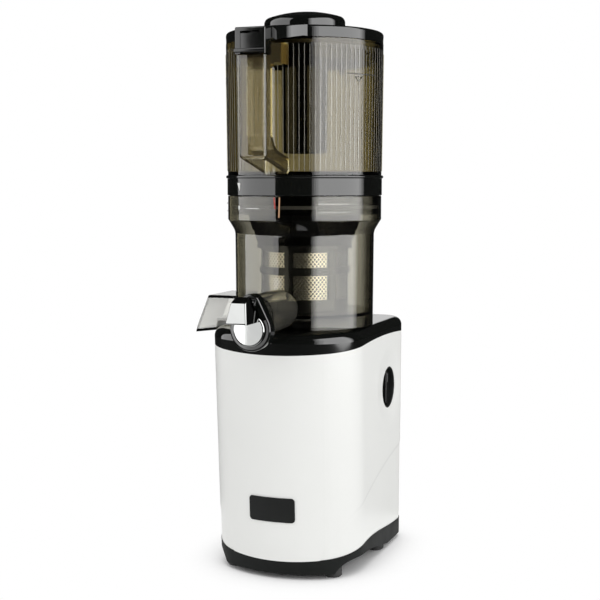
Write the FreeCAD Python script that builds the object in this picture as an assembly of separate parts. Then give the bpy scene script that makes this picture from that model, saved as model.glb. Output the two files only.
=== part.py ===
"""Upright slow juicer with a self-feeding hopper, as an assembly of separate pieces.

Millimetres, +Z up, floor at Z = 0, front at -Y. Every piece is drawn about the drive axis, and is
moved on export so that the origin lies under the middle of the whole machine.
"""
import FreeCAD
import Part
import math
import os

from FreeCAD import Vector

# Fits between pieces, and how far a cutting form runs past what it cuts
SLIDE_GAP = 0.3
SEAT_GAP = 0.2
RUN_GAP = 0.05
PAST = 1.0
FAR = 400.0
NEAR = 0.01

# Rim band of the bowl: base, hopper and lid take their width from it
BODY_R = 70.4

# Motor base: a shell that leans out a little towards its top
BASE_FLOOR_Z = 4.5
BASE_HEIGHT = 214.5
BASE_NARROWER = 0.9
BASE_SIDE_LEAN = 1.0
BASE_FRONT_REACH = 20.6
BASE_FRONT_LEAN = 12.0
BASE_REAR_REACH = 30.6
FRONT_ARC_R = 92.0
FRONT_CORNER_R = 46.0
REAR_CORNER_R = 22.0
SHELL_WALL = 2.6
COVER_EDGE_R = 8.0
COVER_PLATE = 4.0
BASE_TOP_Z = BASE_FLOOR_Z + BASE_HEIGHT
TOP_HALF_WIDTH = BODY_R - BASE_NARROWER
FLOOR_HALF_WIDTH = TOP_HALF_WIDTH - BASE_SIDE_LEAN
TOP_FRONT_Y = -BODY_R - BASE_FRONT_REACH
FLOOR_FRONT_Y = TOP_FRONT_Y + BASE_FRONT_LEAN
BASE_REAR_Y = BODY_R + BASE_REAR_REACH
BASE_DEPTH = BASE_REAR_Y - FLOOR_FRONT_Y

# Line between housing and top cover: its drop below the top, front, middle and rear
COVER_DROPS = (19.0, 12.0, 15.5)
COVER_LINE_MID_Y = -10.0

# Lines along the side of the base, front to rear: share of the base's depth, and height
TRIM_SHARE = (-0.028, 0.139, 0.333, 0.667, 1.017)
TRIM_Z = (15.5, 20.6, 25.3, 22.0, 21.0)
ARCH_SHARE = (0.089, 0.139, 0.211, 0.411, 0.906)
ARCH_Z = (3.0, 13.5, 15.5, 13.5, 3.0)
TRAY_SHARE = (0.072, 0.122, 0.206, 0.411, 0.906)
TRAY_Z = (7.5, 16.5, 18.5, 16.5, 7.0)
TRAY_END_Z = 7.5
CREASE_SHARE = (0.05, 0.106, 0.23, 0.335, 0.46, 0.598, 0.743, 0.888, 1.05)
CREASE_Z = (14.0, 44.0, 62.4, 69.6, 77.3, 84.9, 90.8, 95.4, 98.5)
CREASE_DEPTH = 0.5

# Feet: inset from the side, distance behind the front and top of each pair
FOOT_R = 8.0
FOOT_EDGE = 1.0
FOOT_PAIRS = ((21.5, 27.0, 17.0), (10.5, 116.0, 12.5), (12.5, 157.0, 8.0))
FOOT_PAD_R = 10.0
FOOT_PAD_WALL = 2.5
FOOT_PAD_INSET = 0.4
PAD_FOOT_Z = 6.0

# Air slots in the bottom cover
SLOT_COUNT = 7
SLOT_PITCH = 9.0
SLOT_WIDTH = 4.0
SLOT_LENGTH = 34.0
SLOT_Y = -18.0

# Nameplate on the front
PLATE_WIDTH = 42.6
PLATE_HEIGHT = 22.0
PLATE_CORNER_R = 3.0
PLATE_THICK = 0.8
PLATE_GLUE = 0.1
PLATE_Z = 63.0

# Rotary switch in the right side
SWITCH_FROM_REAR = 56.5
SWITCH_FROM_TOP = 63.4
SWITCH_HOLE_R = 19.5
SWITCH_SIDE_INSET = 0.6
SWITCH_CUP_WALL = 1.8
SWITCH_CUP_DEPTH = 12.9
SWITCH_CUP_FLOOR = 2.0
SWITCH_CUP_SUNK = 1.0
SWITCH_CUP_EDGE = 0.8
SWITCH_DISH_R = 33.0
SWITCH_DISH_DEPTH = 1.2
DIAL_R = 15.5
DIAL_DISC = 3.7
DIAL_GRIP = 6.0
DIAL_GRIP_WIDTH = 7.0
DIAL_EDGE_R = 1.2
DIAL_STEM_R = 3.0
SWITCH_BODY_DEPTH = 12.0
SWITCH_BODY_SIZE = 27.0
SWITCH_BODY_CORNER_R = 3.0
SWITCH_BODY_BACK = 3.0
SWITCH_TAG_PITCH = 8.0
SWITCH_TAG_WIDTH = 4.8
SWITCH_TAG_THICK = 0.8
SWITCH_TAG_REACH = 3.0
SWITCH_TAG_DROP = 9.0
SWITCH_Y = BASE_REAR_Y - SWITCH_FROM_REAR
SWITCH_Z = BASE_TOP_Z - SWITCH_FROM_TOP
SWITCH_SIDE_X = TOP_HALF_WIDTH - SWITCH_SIDE_INSET
SWITCH_MOUTH_X = SWITCH_SIDE_X - SWITCH_CUP_SUNK
SWITCH_BACK_X = SWITCH_MOUTH_X - SWITCH_CUP_DEPTH
DIAL_BACK_X = SWITCH_BACK_X + SWITCH_CUP_FLOOR + SLIDE_GAP
SWITCH_BODY_X = SWITCH_BACK_X - SWITCH_BODY_DEPTH

# Motor and its place
MOTOR_R = 36.0
MOTOR_BOTTOM_Z = 36.0
MOTOR_LENGTH = 76.0
MOTOR_EDGE_R = 4.0
MOTOR_RIB_COUNT = 12
MOTOR_RIB_WIDTH = 3.0
MOTOR_RIB_DEPTH = 1.2
MOTOR_RIB_FROM_END = 14.0
MOTOR_SHAFT_R = 3.0
MOTOR_SHAFT_SUNK = 15.0
MOTOR_TOP_Z = MOTOR_BOTTOM_Z + MOTOR_LENGTH

# Two spur stages with one centre distance, motor and output on one line; heights above the motor
GEAR_CENTRES = 36.0
PINION_TEETH = 12
FIRST_WHEEL_TEETH = 60
OUTPUT_WHEEL_TEETH = 48
PRESSURE_ANGLE = math.radians(25.0)
TOOTH_PLAY = 0.16
MOTOR_PINION_SPAN = (7.0, 19.0)
FIRST_WHEEL_SPAN = (9.0, 17.5)
SECOND_PINION_SPAN = (17.5, 34.5)
OUTPUT_WHEEL_SPAN = (22.0, 34.0)
COUNTERSHAFT_R = 3.0
COUNTERSHAFT_PLAY = 0.5
BUSH_R = 5.0
FIRST_WEB_R = 24.0
OUTPUT_WEB_R = 23.0
WEB_HUB_R = 11.5
WEB_DEPTH = 2.5
FIRST_MODULE = 2 * GEAR_CENTRES / (PINION_TEETH + FIRST_WHEEL_TEETH)
SECOND_MODULE = 2 * GEAR_CENTRES / (PINION_TEETH + OUTPUT_WHEEL_TEETH)
FIRST_WHEEL_TIP_R = FIRST_MODULE * (FIRST_WHEEL_TEETH / 2 + 1)

# Gearbox
GEARBOX_PLAY = 3.4
GEARBOX_WALL = 2.6
GEARBOX_PLATE = 5.0
GEARBOX_HEIGHT = 36.0
GEARBOX_COVER_PLATE = 5.0
GEARBOX_RIB = 4.0
GEARBOX_RIB_HEIGHT = 8.0
GEARBOX_RIB_REACH = 30.0
SHAFT_HOLE_R = 8.0
BEARING_R = 12.0
BEARING_WIDTH = 8.0
BEARING_LIFTS = (39.0, 54.0)
BEARING_SHOULDER = 3.0
BEARING_RACE = 1.8
BEARING_GROOVE = 0.6
BEARING_BOSS_WALL = 4.0
PILLAR_FROM_GEARBOX = 9.0
PILLAR_PLACES_Y = (-2.0, 38.0)
PILLAR_R = 6.0
EAR_R = 8.0
GEARBOX_SCREW_R = 2.0
GEARBOX_SCREW_HEAD_R = 3.8
GEARBOX_SCREW_HEAD = 3.0
GEARBOX_SCREW_REACH = 16.0
GEARBOX_SCREW_HOLE = 20.0
SCREW_SLOT = 1.2
GEARBOX_R = FIRST_WHEEL_TIP_R + GEARBOX_PLAY + GEARBOX_WALL
GEARBOX_TOP_Z = MOTOR_TOP_Z + GEARBOX_HEIGHT
BEARING_BOSS_TOP_Z = MOTOR_TOP_Z + BEARING_LIFTS[1] + BEARING_WIDTH
PILLAR_X = GEARBOX_R + PILLAR_FROM_GEARBOX

# Drive shaft: plain through the gearbox, six-sided above the base
DRIVE_R = 6.0
DRIVE_FOOT_LIFT = 21.0
HEX_FROM_TOP = 5.0
HEX_LENGTH = 38.0
HEX_FLATS = 11.0
HEX_POINT = 5.0
DRIVE_HUB_R = 22.0
DRIVE_HUB_HEIGHT = 4.0
SEAL_R = 11.0
SEAL_LIP = 1.2
HEX_FOOT_Z = BASE_TOP_Z + HEX_FROM_TOP
HEX_TOP_Z = HEX_FOOT_Z + HEX_LENGTH
DRIVE_HUB_TOP_Z = BASE_TOP_Z + DRIVE_HUB_HEIGHT

# Control board behind the motor
BOARD_SIZE = (70.0, 38.0)
BOARD_FROM_REAR = 33.0
BOARD_Z = 27.0
BOARD_THICK = 1.6
BOARD_POST_R = 3.0
BOARD_POST_INSET = 5.0
BOARD_PART_SUNK = 0.5
COIL_SIZE = (22.0, 22.0, 18.0)
COIL_X = -17.0
CAPACITOR_R = 7.0
CAPACITOR_HEIGHT = 24.0
CAPACITOR_X = 6.0
BRIDGE_SIZE = (12.0, 4.0, 12.0)
PLUG_SIZE = (14.0, 8.0, 8.0)
BRIDGE_X = 24.0
BRIDGE_FROM_MID = 7.0
BOARD_Y = BASE_REAR_Y - BOARD_FROM_REAR

# Gland for the mains lead in the rear wall
GLAND_X = 26.0
GLAND_Z = 40.0
GLAND_R = 8.0
GLAND_BORE_R = 3.6
GLAND_LIP_R = 10.5
GLAND_LIP = 4.5
GLAND_LIP_EDGE_R = 1.5
GLAND_NUT = 6.0
GLAND_FACE_Y = BASE_REAR_Y - CREASE_DEPTH

# Juicing bowl
BOWL_FOOT_STEP = 7.1
BOWL_NECK_STEP = 6.5
BOWL_WALL = 2.5
BOWL_FLOOR_LIFT = 13.0
BOWL_FLOOR = 3.0
BOWL_NECK_LIFT = 72.0
BOWL_SHOULDER = 10.9
BOWL_BAND = 21.6
BOWL_NECK_ROUND = 12.0
BOWL_BAND_ROUND = 2.5
BOWL_RIM_ROUND = 0.8
BOWL_HUB_R = 16.0
BOWL_HUB_DROP = 6.0
BOWL_HUB_HEIGHT = 6.0
BOWL_SEAL_LIFT = 1.0
BOWL_SEAL_R = 13.0
BOWL_SEAL_LIP = 1.6
BOWL_SEAL_PLAY = 0.1
BOWL_HUB_BORE_R = 10.0
BOWL_FOOT_R = BODY_R - BOWL_FOOT_STEP
BOWL_NECK_R = BODY_R - BOWL_NECK_STEP
BOWL_FOOT_Z = BASE_TOP_Z + SEAT_GAP
BOWL_FLOOR_Z = BASE_TOP_Z + BOWL_FLOOR_LIFT
BOWL_NECK_Z = BOWL_FLOOR_Z + BOWL_NECK_LIFT
BOWL_BAND_Z = BOWL_NECK_Z + BOWL_SHOULDER
BOWL_RIM_Z = BOWL_BAND_Z + BOWL_BAND
BOWL_HUB_FOOT_Z = BOWL_FLOOR_Z - BOWL_HUB_DROP
BOWL_HUB_TOP_Z = BOWL_FLOOR_Z + BOWL_HUB_HEIGHT
BOWL_SEAL_SEAT_Z = BOWL_FLOOR_Z + BOWL_SEAL_LIFT

# Seat of the bowl on the cover
SEAT_RING_PLAY = 2.8
SEAT_RING_WALL = 4.0
SEAT_RING_HEIGHT = 6.0
SEAT_LUG_COUNT = 4
SEAT_LUG_WIDTH = 16.0
SEAT_LUG_REACH = 2.2
SEAT_LUG_HEIGHT = 3.0
SEAT_LUG_DROP = 4.0
SEAT_RING_R = BOWL_FOOT_R - BOWL_WALL - SEAT_RING_PLAY
SEAT_RING_TOP_Z = BASE_TOP_Z + SEAT_RING_HEIGHT

# Juice tube and spout
TUBE_R = 17.5
TUBE_WALL = 2.5
TUBE_LIFT = 18.5
TUBE_LENGTH = 54.7
TUBE_ROOT = 20.0
SPOUT_DEPTH = 10.0
SPOUT_R = 18.3
SPOUT_DROP = 10.8
SPOUT_CROWN_R = 9.0
SPOUT_CROWN_LIFT = 10.0
SPOUT_EDGE_R = 1.6
SPOUT_HOLE_R = 12.5
SPOUT_POCKET = 6.0
SPOUT_POCKET_WALL = 3.0
SPOUT_BASIN_BACK = 2.0
TUBE_Z = BASE_TOP_Z + TUBE_LIFT
TUBE_END_Y = -BOWL_FOOT_R - TUBE_LENGTH
SPOUT_FACE_Y = TUBE_END_Y - SPOUT_DEPTH
SPOUT_Z = TUBE_Z - SPOUT_DROP
SPOUT_CROWN_Z = TUBE_Z + SPOUT_CROWN_LIFT

# Flip cap of the spout: its lever is drawn from the pin, forward and up
CAP_PIN_OUT = 3.5
CAP_PIN_LIFT = 1.5
CAP_PIN_R = 1.5
CAP_EAR_R = 3.2
CAP_EAR_INNER_X = 3.6
CAP_EAR_OUTER_X = 6.4
CAP_DISC_R = 14.0
CAP_DISC = 2.8
CAP_DISC_EDGE_R = 1.4
CAP_SEAL_R = 11.5
CAP_SEAL_DEPTH = 4.0
LEVER_TOP_HALF = 6.6
LEVER_CREST_HALF = 6.0
LEVER_FOOT_HALF = 9.4
LEVER_FOOT = (25.5, -15.0)
LEVER_BROW = (20.0, 2.0)
LEVER_CREST = (10.5, 6.3)
LEVER_HEEL = (6.5, 4.0)
LEVER_ARM = (5.5, -5.5)
LEVER_ROUND = 1.0
LEVER_TONGUE_LIFT = 2.5
CAP_PIN_Y = SPOUT_FACE_Y - CAP_PIN_OUT
CAP_PIN_Z = SPOUT_CROWN_Z + CAP_PIN_LIFT

# Pulp chute on the left, from the bowl's wall over the edge of the base
CHUTE_FRONT_Y = -28.0
CHUTE_REAR_Y = 24.0
CHUTE_WALL = 2.2
CHUTE_LIFT = 25.5
CHUTE_ROOT = 16.3
CHUTE_SHOULDER = 15.5
CHUTE_TIP = (27.5, -4.2)
CHUTE_LIP = (28.7, -9.5)
CHUTE_HEEL = (8.5, -7.0)
CHUTE_HEEL_TOP = 6.5
CHUTE_FLOOR_LIFT = 2.0
CHUTE_ROUND = 2.5
CHUTE_TIP_ROUND = 1.0
CHUTE_EDGE_R = 1.0
PULP_WINDOW_HALF = 12.0
PULP_WINDOW_LIFTS = (1.5, 10.0)
PULP_GASKET_LIP = 1.2
PULP_DUCT_WALL = 1.6
PULP_DUCT_PLAY = 0.8
PULP_DUCT_FOOT = 1.0
PULP_WINDOW_Z = (BOWL_FLOOR_Z + PULP_WINDOW_LIFTS[0], BOWL_FLOOR_Z + PULP_WINDOW_LIFTS[1])

# Strainer, its heights taken from the bowl's floor
STRAINER_R = 40.0
STRAINER_WALL = 1.7
STRAINER_FLOOR = 3.0
STRAINER_BORE_R = 16.6
STRAINER_FLANGE_R = 43.8
STRAINER_FLANGE_LIFT = 57.0
STRAINER_FLANGE = 3.0
STRAINER_HOOP_R = 41.6
STRAINER_HOOP = 5.0
WINDOW_COUNT = 6
WINDOW_SPAN_DEG = 48.0
WINDOW_ROWS = ((11.5, 33.5), (40.5, 54.0))
MESH_WALL = 0.7
MESH_GAP = 0.1
MESH_SPAN = (4.0, 56.0)
STRAINER_FLANGE_Z = BOWL_FLOOR_Z + STRAINER_FLANGE_LIFT
STRAINER_TOP_Z = STRAINER_FLANGE_Z + STRAINER_FLANGE

# Juicing screw: radius and height above the bowl's floor along the core, then its flights
SCREW_CORE = (
    (33.0, 8.0), (33.0, 13.0), (23.0, 54.0), (14.0, 68.0), (9.0, 102.0), (5.0, 108.0),
)
SCREW_PRESS_TOP = 57.0
SCREW_FLIGHT_R = 36.6
SCREW_FLIGHT_ROOT_R = 20.0
SCREW_FLIGHT_STARTS = 2
SCREW_FLIGHT_PITCH = 44.0
SCREW_FLIGHT_THICK = 4.0
FEED_FLIGHT_R = 37.5
FEED_FLIGHT_ROOT_R = 7.0
FEED_FLIGHT_START_DEG = 40.0
FEED_FLIGHT_PITCH = 70.0
FEED_FLIGHT_SPAN = (56.0, 98.0)
FEED_FLIGHT_THICK = 5.0
SOCKET_R = 9.6
SOCKET_DROP = 5.0
SOCKET_ROOM = 2.0
SOCKET_CAP = 4.0
SCREW_FOOT_Z = BOWL_FLOOR_Z + SCREW_CORE[0][1]
SOCKET_FOOT_Z = BOWL_FLOOR_Z - SOCKET_DROP
SOCKET_TOP_Z = HEX_TOP_Z + SOCKET_ROOM + SOCKET_CAP

# Hopper collar and feed throat
COLLAR_WIDER = 0.5
COLLAR_HEIGHT = 15.2
COLLAR_WALL = 2.7
COLLAR_ROUND = 0.6
FLANGE_REACH = 1.1
FLANGE = 3.0
FLANGE_ROUND = 1.0
THROAT_MOUTH_R = 56.0
THROAT_WAIST_R = 50.5
THROAT_WAIST_LIFT = 19.7
THROAT_WAIST_ROUND = 60.0
THROAT_END_R = 42.8
THROAT_WALL = 2.2
THROAT_SLEEVE_WALL = 2.4
THROAT_SLEEVE_DEPTH = 16.5
THROAT_FLANGE = 3.0
THROAT_SEAL_DROPS = (11.5, 8.5)
THROAT_SEAL_DEPTH = 1.4
THROAT_SEAL_PROUD = 0.15
COLLAR_R = BODY_R + COLLAR_WIDER
COLLAR_FOOT_Z = BOWL_RIM_Z + SEAT_GAP
COLLAR_TOP_Z = COLLAR_FOOT_Z + COLLAR_HEIGHT
FLANGE_R = COLLAR_R + FLANGE_REACH
FLANGE_TOP_Z = COLLAR_TOP_Z + FLANGE
THROAT_END_Z = STRAINER_TOP_Z + SLIDE_GAP
THROAT_BORE_R = THROAT_MOUTH_R - THROAT_WALL
THROAT_SLEEVE_R = BODY_R - BOWL_WALL - SLIDE_GAP
THROAT_SLEEVE_Z = BOWL_RIM_Z - THROAT_SLEEVE_DEPTH
THROAT_SEAL_Z = (BOWL_RIM_Z - THROAT_SEAL_DROPS[0], BOWL_RIM_Z - THROAT_SEAL_DROPS[1])

# Hopper
HOPPER_HEIGHT = 116.9
HOPPER_FLARE = 1.2
HOPPER_WALL = 2.4
HOPPER_FLOOR = 3.0
HOPPER_RIM_ROUND = 0.8
RIB_COUNT = 96
RIB_WIDTH = 1.0
RIB_HEIGHT = 0.35
RIB_FROM_FOOT = 3.5
RIB_FROM_RIM = 8.5
HOPPER_FOOT_R = BODY_R
HOPPER_RIM_R = HOPPER_FOOT_R + HOPPER_FLARE
HOPPER_FOOT_Z = FLANGE_TOP_Z
HOPPER_RIM_Z = HOPPER_FOOT_Z + HOPPER_HEIGHT

# Hopper handle: reach from the hopper, heights from its foot and drops from its rim
HANDLE_HALF_WIDTH = 12.0
HANDLE_REACH = 51.6
HANDLE_GRIP_DEPTH = 15.0
HANDLE_TOP_DROP = 19.8
HANDLE_STEP_BACK = 11.0
HANDLE_STEP_DROP = 9.8
HANDLE_RIM_DROP = 3.8
HANDLE_FOOT_LIFT = 13.1
HANDLE_ROOT_LIFT = 0.6
HANDLE_GAP_TOP_DROP = 23.8
HANDLE_GAP_FOOT_LIFT = 23.1
HANDLE_GAP_TOP_R = 8.0
HANDLE_GAP_FOOT_R = 16.0
HANDLE_WALL = 2.4
HANDLE_EDGE_R = 3.0
HANDLE_SUNK = 10.0
HANDLE_FACE_Y = -HOPPER_FOOT_R - HANDLE_REACH
HANDLE_INNER_Y = HANDLE_FACE_Y + HANDLE_GRIP_DEPTH
HANDLE_STEP_Y = HANDLE_FACE_Y + HANDLE_STEP_BACK
HANDLE_TOP_Z = HOPPER_RIM_Z - HANDLE_TOP_DROP
HANDLE_STEP_Z = HOPPER_RIM_Z - HANDLE_STEP_DROP
HANDLE_FOOT_Z = HOPPER_FOOT_Z + HANDLE_FOOT_LIFT
HANDLE_GAP_FOOT_Z = HOPPER_FOOT_Z + HANDLE_GAP_FOOT_LIFT
HANDLE_GAP_TOP_Z = HOPPER_RIM_Z - HANDLE_GAP_TOP_DROP

# Lid
LID_HEIGHT = 10.0
LID_SET_IN = 0.2
LID_PLATE = 3.0
LID_SKIRT_WALL = 2.4
LID_EDGE_R = 2.5
LID_PLUG_PLAY = 1.1
LID_PLUG_WALL = 2.2
LID_PLUG_DEPTH = 16.8
LID_PLUG_TAPER = 2.0
LID_GASKET_PROUD = 0.6
LID_GASKET_DROPS = (4.8, 1.8)
LID_GASKET_DEPTH = 1.2
LID_R = HOPPER_RIM_R - LID_SET_IN
LID_FOOT_Z = HOPPER_RIM_Z + SEAT_GAP
LID_TOP_Z = LID_FOOT_Z + LID_HEIGHT
LID_UNDER_Z = LID_TOP_Z - LID_PLATE
LID_PLUG_R = HOPPER_RIM_R - HOPPER_WALL - LID_PLUG_PLAY
LID_PLUG_Z = HOPPER_RIM_Z - LID_PLUG_DEPTH
LID_GASKET_Z = (HOPPER_RIM_Z - LID_GASKET_DROPS[0], HOPPER_RIM_Z - LID_GASKET_DROPS[1])

# Tab of the lid over the handle, with its latch
TAB_HALF_WIDTH = 13.5
TAB_ROOT_HALF_WIDTH = 33.0
TAB_ROOT_SUNK = 8.4
TAB_OVER_HANDLE = 4.0
TAB_FOOT_GAP = 0.5
TAB_FACE_RISE = 2.2
TAB_BLOCK_OUT = 2.5
TAB_PLATE_GAP = 1.4
TAB_WAIST_HALF = 17.5
TAB_WAIST_OUT = 14.4
TAB_EDGE_R = 1.2
LATCH_HALF_WIDTH = 8.2
LATCH_SUNK = 0.2
LATCH_THICK = 2.6
LATCH_FOOT_LIFT = 1.0
LATCH_DROP = 5.0
LATCH_LIP = 2.4
LATCH_LIP_HEIGHT = 3.2
LATCH_LIP_ROUND = 0.9
LATCH_PIN_IN = 6.5
LATCH_PIN_DROP = 5.0
LATCH_PIN_R = 1.25
LATCH_PIN_COVER = 1.0
LATCH_HUB_R = 2.8
LATCH_HEADROOM = 1.9
LATCH_BACK_ROOM = 4.0
TAB_FACE_Y = HANDLE_FACE_Y - TAB_OVER_HANDLE
TAB_FOOT_Z = HANDLE_TOP_Z + TAB_FOOT_GAP
TAB_FACE_TOP_Z = HOPPER_RIM_Z + TAB_FACE_RISE
TAB_BLOCK_Y = HANDLE_STEP_Y - TAB_BLOCK_OUT
TAB_PLATE_Z = HANDLE_STEP_Z + TAB_PLATE_GAP
LATCH_FACE_Y = TAB_FACE_Y + LATCH_SUNK
LATCH_FOOT_Z = TAB_FOOT_Z + LATCH_FOOT_LIFT
LATCH_TOP_Z = TAB_FACE_TOP_Z - LATCH_DROP
LATCH_PIN_Y = TAB_FACE_Y + LATCH_PIN_IN
LATCH_PIN_Z = LATCH_TOP_Z - LATCH_PIN_DROP

# Lid hinge at the rear
HINGE_STANDOFF = 7.4
HINGE_RISE = 3.2
HINGE_R = 4.5
HINGE_PIN_R = 1.75
HINGE_PIN_PROUD = 0.5
HINGE_EAR_INNER_X = 9.5
HINGE_EAR_OUTER_X = 14.5
HINGE_EAR_DROP = 24.8
HINGE_EAR_SLOPE = 22.0
HINGE_EAR_SUNK = 3.6
HINGE_EAR_TOP_GAP = 2.0
HINGE_Y = HOPPER_RIM_R + HINGE_STANDOFF
HINGE_Z = HOPPER_RIM_Z + HINGE_RISE
HINGE_EAR_FOOT_Z = HOPPER_RIM_Z - HINGE_EAR_DROP

# Plunger: a hollow post under the lid that ends above the hopper's floor
PLUNGER_R = 20.0
PLUNGER_DRAFT = 0.8
PLUNGER_WALL = 2.4
PLUNGER_WEB = 3.0
PLUNGER_OFF_FLOOR = 17.0
PLUNGER_EDGE_R = 0.8
PLUNGER_FOOT_Z = HOPPER_FOOT_Z + HOPPER_FLOOR + PLUNGER_OFF_FLOOR
PLUNGER_WEB_Z = LID_UNDER_Z - PLUNGER_WEB

# Lid knob: a short drum under a shallow crown, which is higher at the rear
KNOB_R = 36.7
KNOB_HEIGHT = 20.0
KNOB_CROWN_R = 110.0
KNOB_CROWN_BACK = 6.0
KNOB_SHOULDER_R = 6.0
KNOB_FOOT_R = 1.2
KNOB_SCREW_R = 2.0
KNOB_SCREW_HEAD_R = 5.0
KNOB_SCREW_HEAD = 2.4
KNOB_SCREW_REACH = 9.0
KNOB_SCREW_PLAY = 0.2
KNOB_SCREW_CROSS = (6.0, 1.2, 1.4)
KNOB_TOP_Z = LID_TOP_Z + KNOB_HEIGHT

# How far the machine reaches from the drive axis, for the place of the origin
REACH_LEFT = TOP_HALF_WIDTH + CHUTE_LIP[0]
REACH_FRONT = LEVER_FOOT[0] - CAP_PIN_Y
REACH_REAR = GLAND_FACE_Y + GLAND_LIP


# Plain forms

def box(x0, x1, y0, y1, z0, z1):
    return Part.makeBox(x1 - x0, y1 - y0, z1 - z0, Vector(x0, y0, z0))


def block(size, x, y, z):
    """Box standing at a height, centred on a place."""
    return box(x - size[0] / 2, x + size[0] / 2, y - size[1] / 2, y + size[1] / 2, z, z + size[2])


def cyl(r, z0, z1, x=0.0, y=0.0):
    return Part.makeCylinder(r, z1 - z0, Vector(x, y, z0))


def cyl_x(r, x0, x1, y, z):
    return Part.makeCylinder(r, x1 - x0, Vector(x0, y, z), Vector(1, 0, 0))


def cyl_y(r, y0, y1, x, z):
    return Part.makeCylinder(r, y1 - y0, Vector(x, y0, z), Vector(0, 1, 0))


def ring(r_out, r_in, z0, z1, x=0.0, y=0.0):
    return cyl(r_out, z0, z1, x, y).cut(cyl(r_in, z0 - PAST, z1 + PAST, x, y))


def cone(r_low, r_high, z0, z1):
    return Part.makeCone(r_low, r_high, z1 - z0, Vector(0, 0, z0))


def closed(points):
    return Part.makePolygon(list(points) + [points[0]])


def soft_wire(corners):
    """Closed wire through (point, radius) corners, each corner rounded by its radius."""
    runs = []
    for k, (corner, radius) in enumerate(corners):
        back = (corners[k - 1][0] - corner).normalize()
        ahead = (corners[(k + 1) % len(corners)][0] - corner).normalize()
        if radius == 0.0:
            runs.append((corner, corner, corner))
            continue
        half = back.getAngle(ahead) / 2
        reach = radius / math.tan(half)
        middle = corner + (back + ahead).normalize() * (radius / math.sin(half) - radius)
        runs.append((corner + back * reach, middle, corner + ahead * reach))
    edges = []
    for k, (start, middle, end) in enumerate(runs):
        if (end - start).Length > NEAR:
            edges.append(Part.Arc(start, middle, end).toShape())
        following = runs[(k + 1) % len(runs)][0]
        if (following - end).Length > NEAR:
            edges.append(Part.makeLine(end, following))
    return Part.Wire(edges)


def radius_of(corner):
    return corner[2] if len(corner) > 2 else 0.0


def turned(profile):
    """Body of revolution about the drive axis from (radius, z) corners, or (radius, z, rounding)."""
    wire = soft_wire([(Vector(c[0], 0, c[1]), radius_of(c)) for c in profile])
    return Part.Face(wire).revolve(Vector(0, 0, 0), Vector(0, 0, 1), 360)


def prism_x(profile, x0, x1):
    """(y, z) corners, or (y, z, rounding), drawn out along X."""
    wire = soft_wire([(Vector(x0, c[0], c[1]), radius_of(c)) for c in profile])
    return Part.Face(wire).extrude(Vector(x1 - x0, 0, 0))


def prism_y(profile, y0, y1):
    """(x, z) corners, or (x, z, rounding), drawn out along Y."""
    wire = soft_wire([(Vector(c[0], y0, c[1]), radius_of(c)) for c in profile])
    return Part.Face(wire).extrude(Vector(0, y1 - y0, 0))


def hexagon(flats, z0, z1):
    r = flats / 2 / math.cos(math.pi / 6)
    turns = [k * math.pi / 3 for k in range(6)]
    wire = closed([Vector(r * math.cos(a), r * math.sin(a), z0) for a in turns])
    return Part.Face(wire).extrude(Vector(0, 0, z1 - z0))


def fused(first, *others):
    return first.multiFuse(list(others)).removeSplitter() if others else first


def around_z(shape, deg):
    turned_shape = shape.copy()
    turned_shape.rotate(Vector(0, 0, 0), Vector(0, 0, 1), deg)
    return turned_shape


def mirrored_x(shape):
    return shape.mirror(Vector(0, 0, 0), Vector(1, 0, 0))


def softened(shape, radius, wanted):
    """Round the edges whose bounding box answers to a test."""
    return shape.makeFillet(radius, [e for e in shape.Edges if wanted(e.BoundBox)])


def under_line(points):
    """Everything below a smooth (y, z) line, right across the machine."""
    curve = Part.BSplineCurve()
    curve.interpolate([Vector(-FAR, y, z) for y, z in points])
    first, last = points[0], points[-1]
    sides = Part.makePolygon([
        Vector(-FAR, last[0], last[1]),
        Vector(-FAR, last[0], -FAR),
        Vector(-FAR, first[0], -FAR),
        Vector(-FAR, first[0], first[1]),
    ])
    wire = Part.Wire([curve.toShape()] + sides.Edges)
    return Part.Face(wire).extrude(Vector(2 * FAR, 0, 0))


# Motor base

def base_outline(z, inset):
    """Plan of the base at a height: bowed front, round corners, flat sides and rear."""
    share = (z - BASE_FLOOR_Z) / BASE_HEIGHT
    half = FLOOR_HALF_WIDTH + share * (TOP_HALF_WIDTH - FLOOR_HALF_WIDTH) - inset
    front = FLOOR_FRONT_Y + share * (TOP_FRONT_Y - FLOOR_FRONT_Y) + inset
    rear = BASE_REAR_Y - inset
    bow = FRONT_ARC_R - inset
    corner = FRONT_CORNER_R - inset
    heel = REAR_CORNER_R - inset
    bow_y = front + bow
    corner_x = half - corner
    corner_y = bow_y - math.sqrt((bow - corner) ** 2 - corner_x ** 2)
    lean = bow / (bow - corner)
    touch = Vector(corner_x * lean, bow_y + (corner_y - bow_y) * lean, z)
    reach = math.atan2(touch.y - corner_y, touch.x - corner_x) / 2
    corner_mid = Vector(corner_x + corner * math.cos(reach), corner_y + corner * math.sin(reach), z)
    s = math.sqrt(0.5)

    def left(p):
        return Vector(-p.x, p.y, p.z)

    side_front = Vector(half, corner_y, z)
    side_rear = Vector(half, rear - heel, z)
    heel_mid = Vector(half - heel + heel * s, rear - heel + heel * s, z)
    rear_end = Vector(half - heel, rear, z)
    edges = [
        Part.Arc(left(touch), Vector(0, front, z), touch).toShape(),
        Part.Arc(touch, corner_mid, side_front).toShape(),
        Part.makeLine(side_front, side_rear),
        Part.Arc(side_rear, heel_mid, rear_end).toShape(),
        Part.makeLine(rear_end, left(rear_end)),
        Part.Arc(left(rear_end), left(heel_mid), left(side_rear)).toShape(),
        Part.makeLine(left(side_rear), left(side_front)),
        Part.Arc(left(side_front), left(corner_mid), left(touch)).toShape(),
    ]
    return Part.Wire(edges)


def base_block(inset, top=BASE_TOP_Z):
    return Part.makeLoft([base_outline(BASE_FLOOR_Z, inset), base_outline(top, inset)], True, True)


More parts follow.
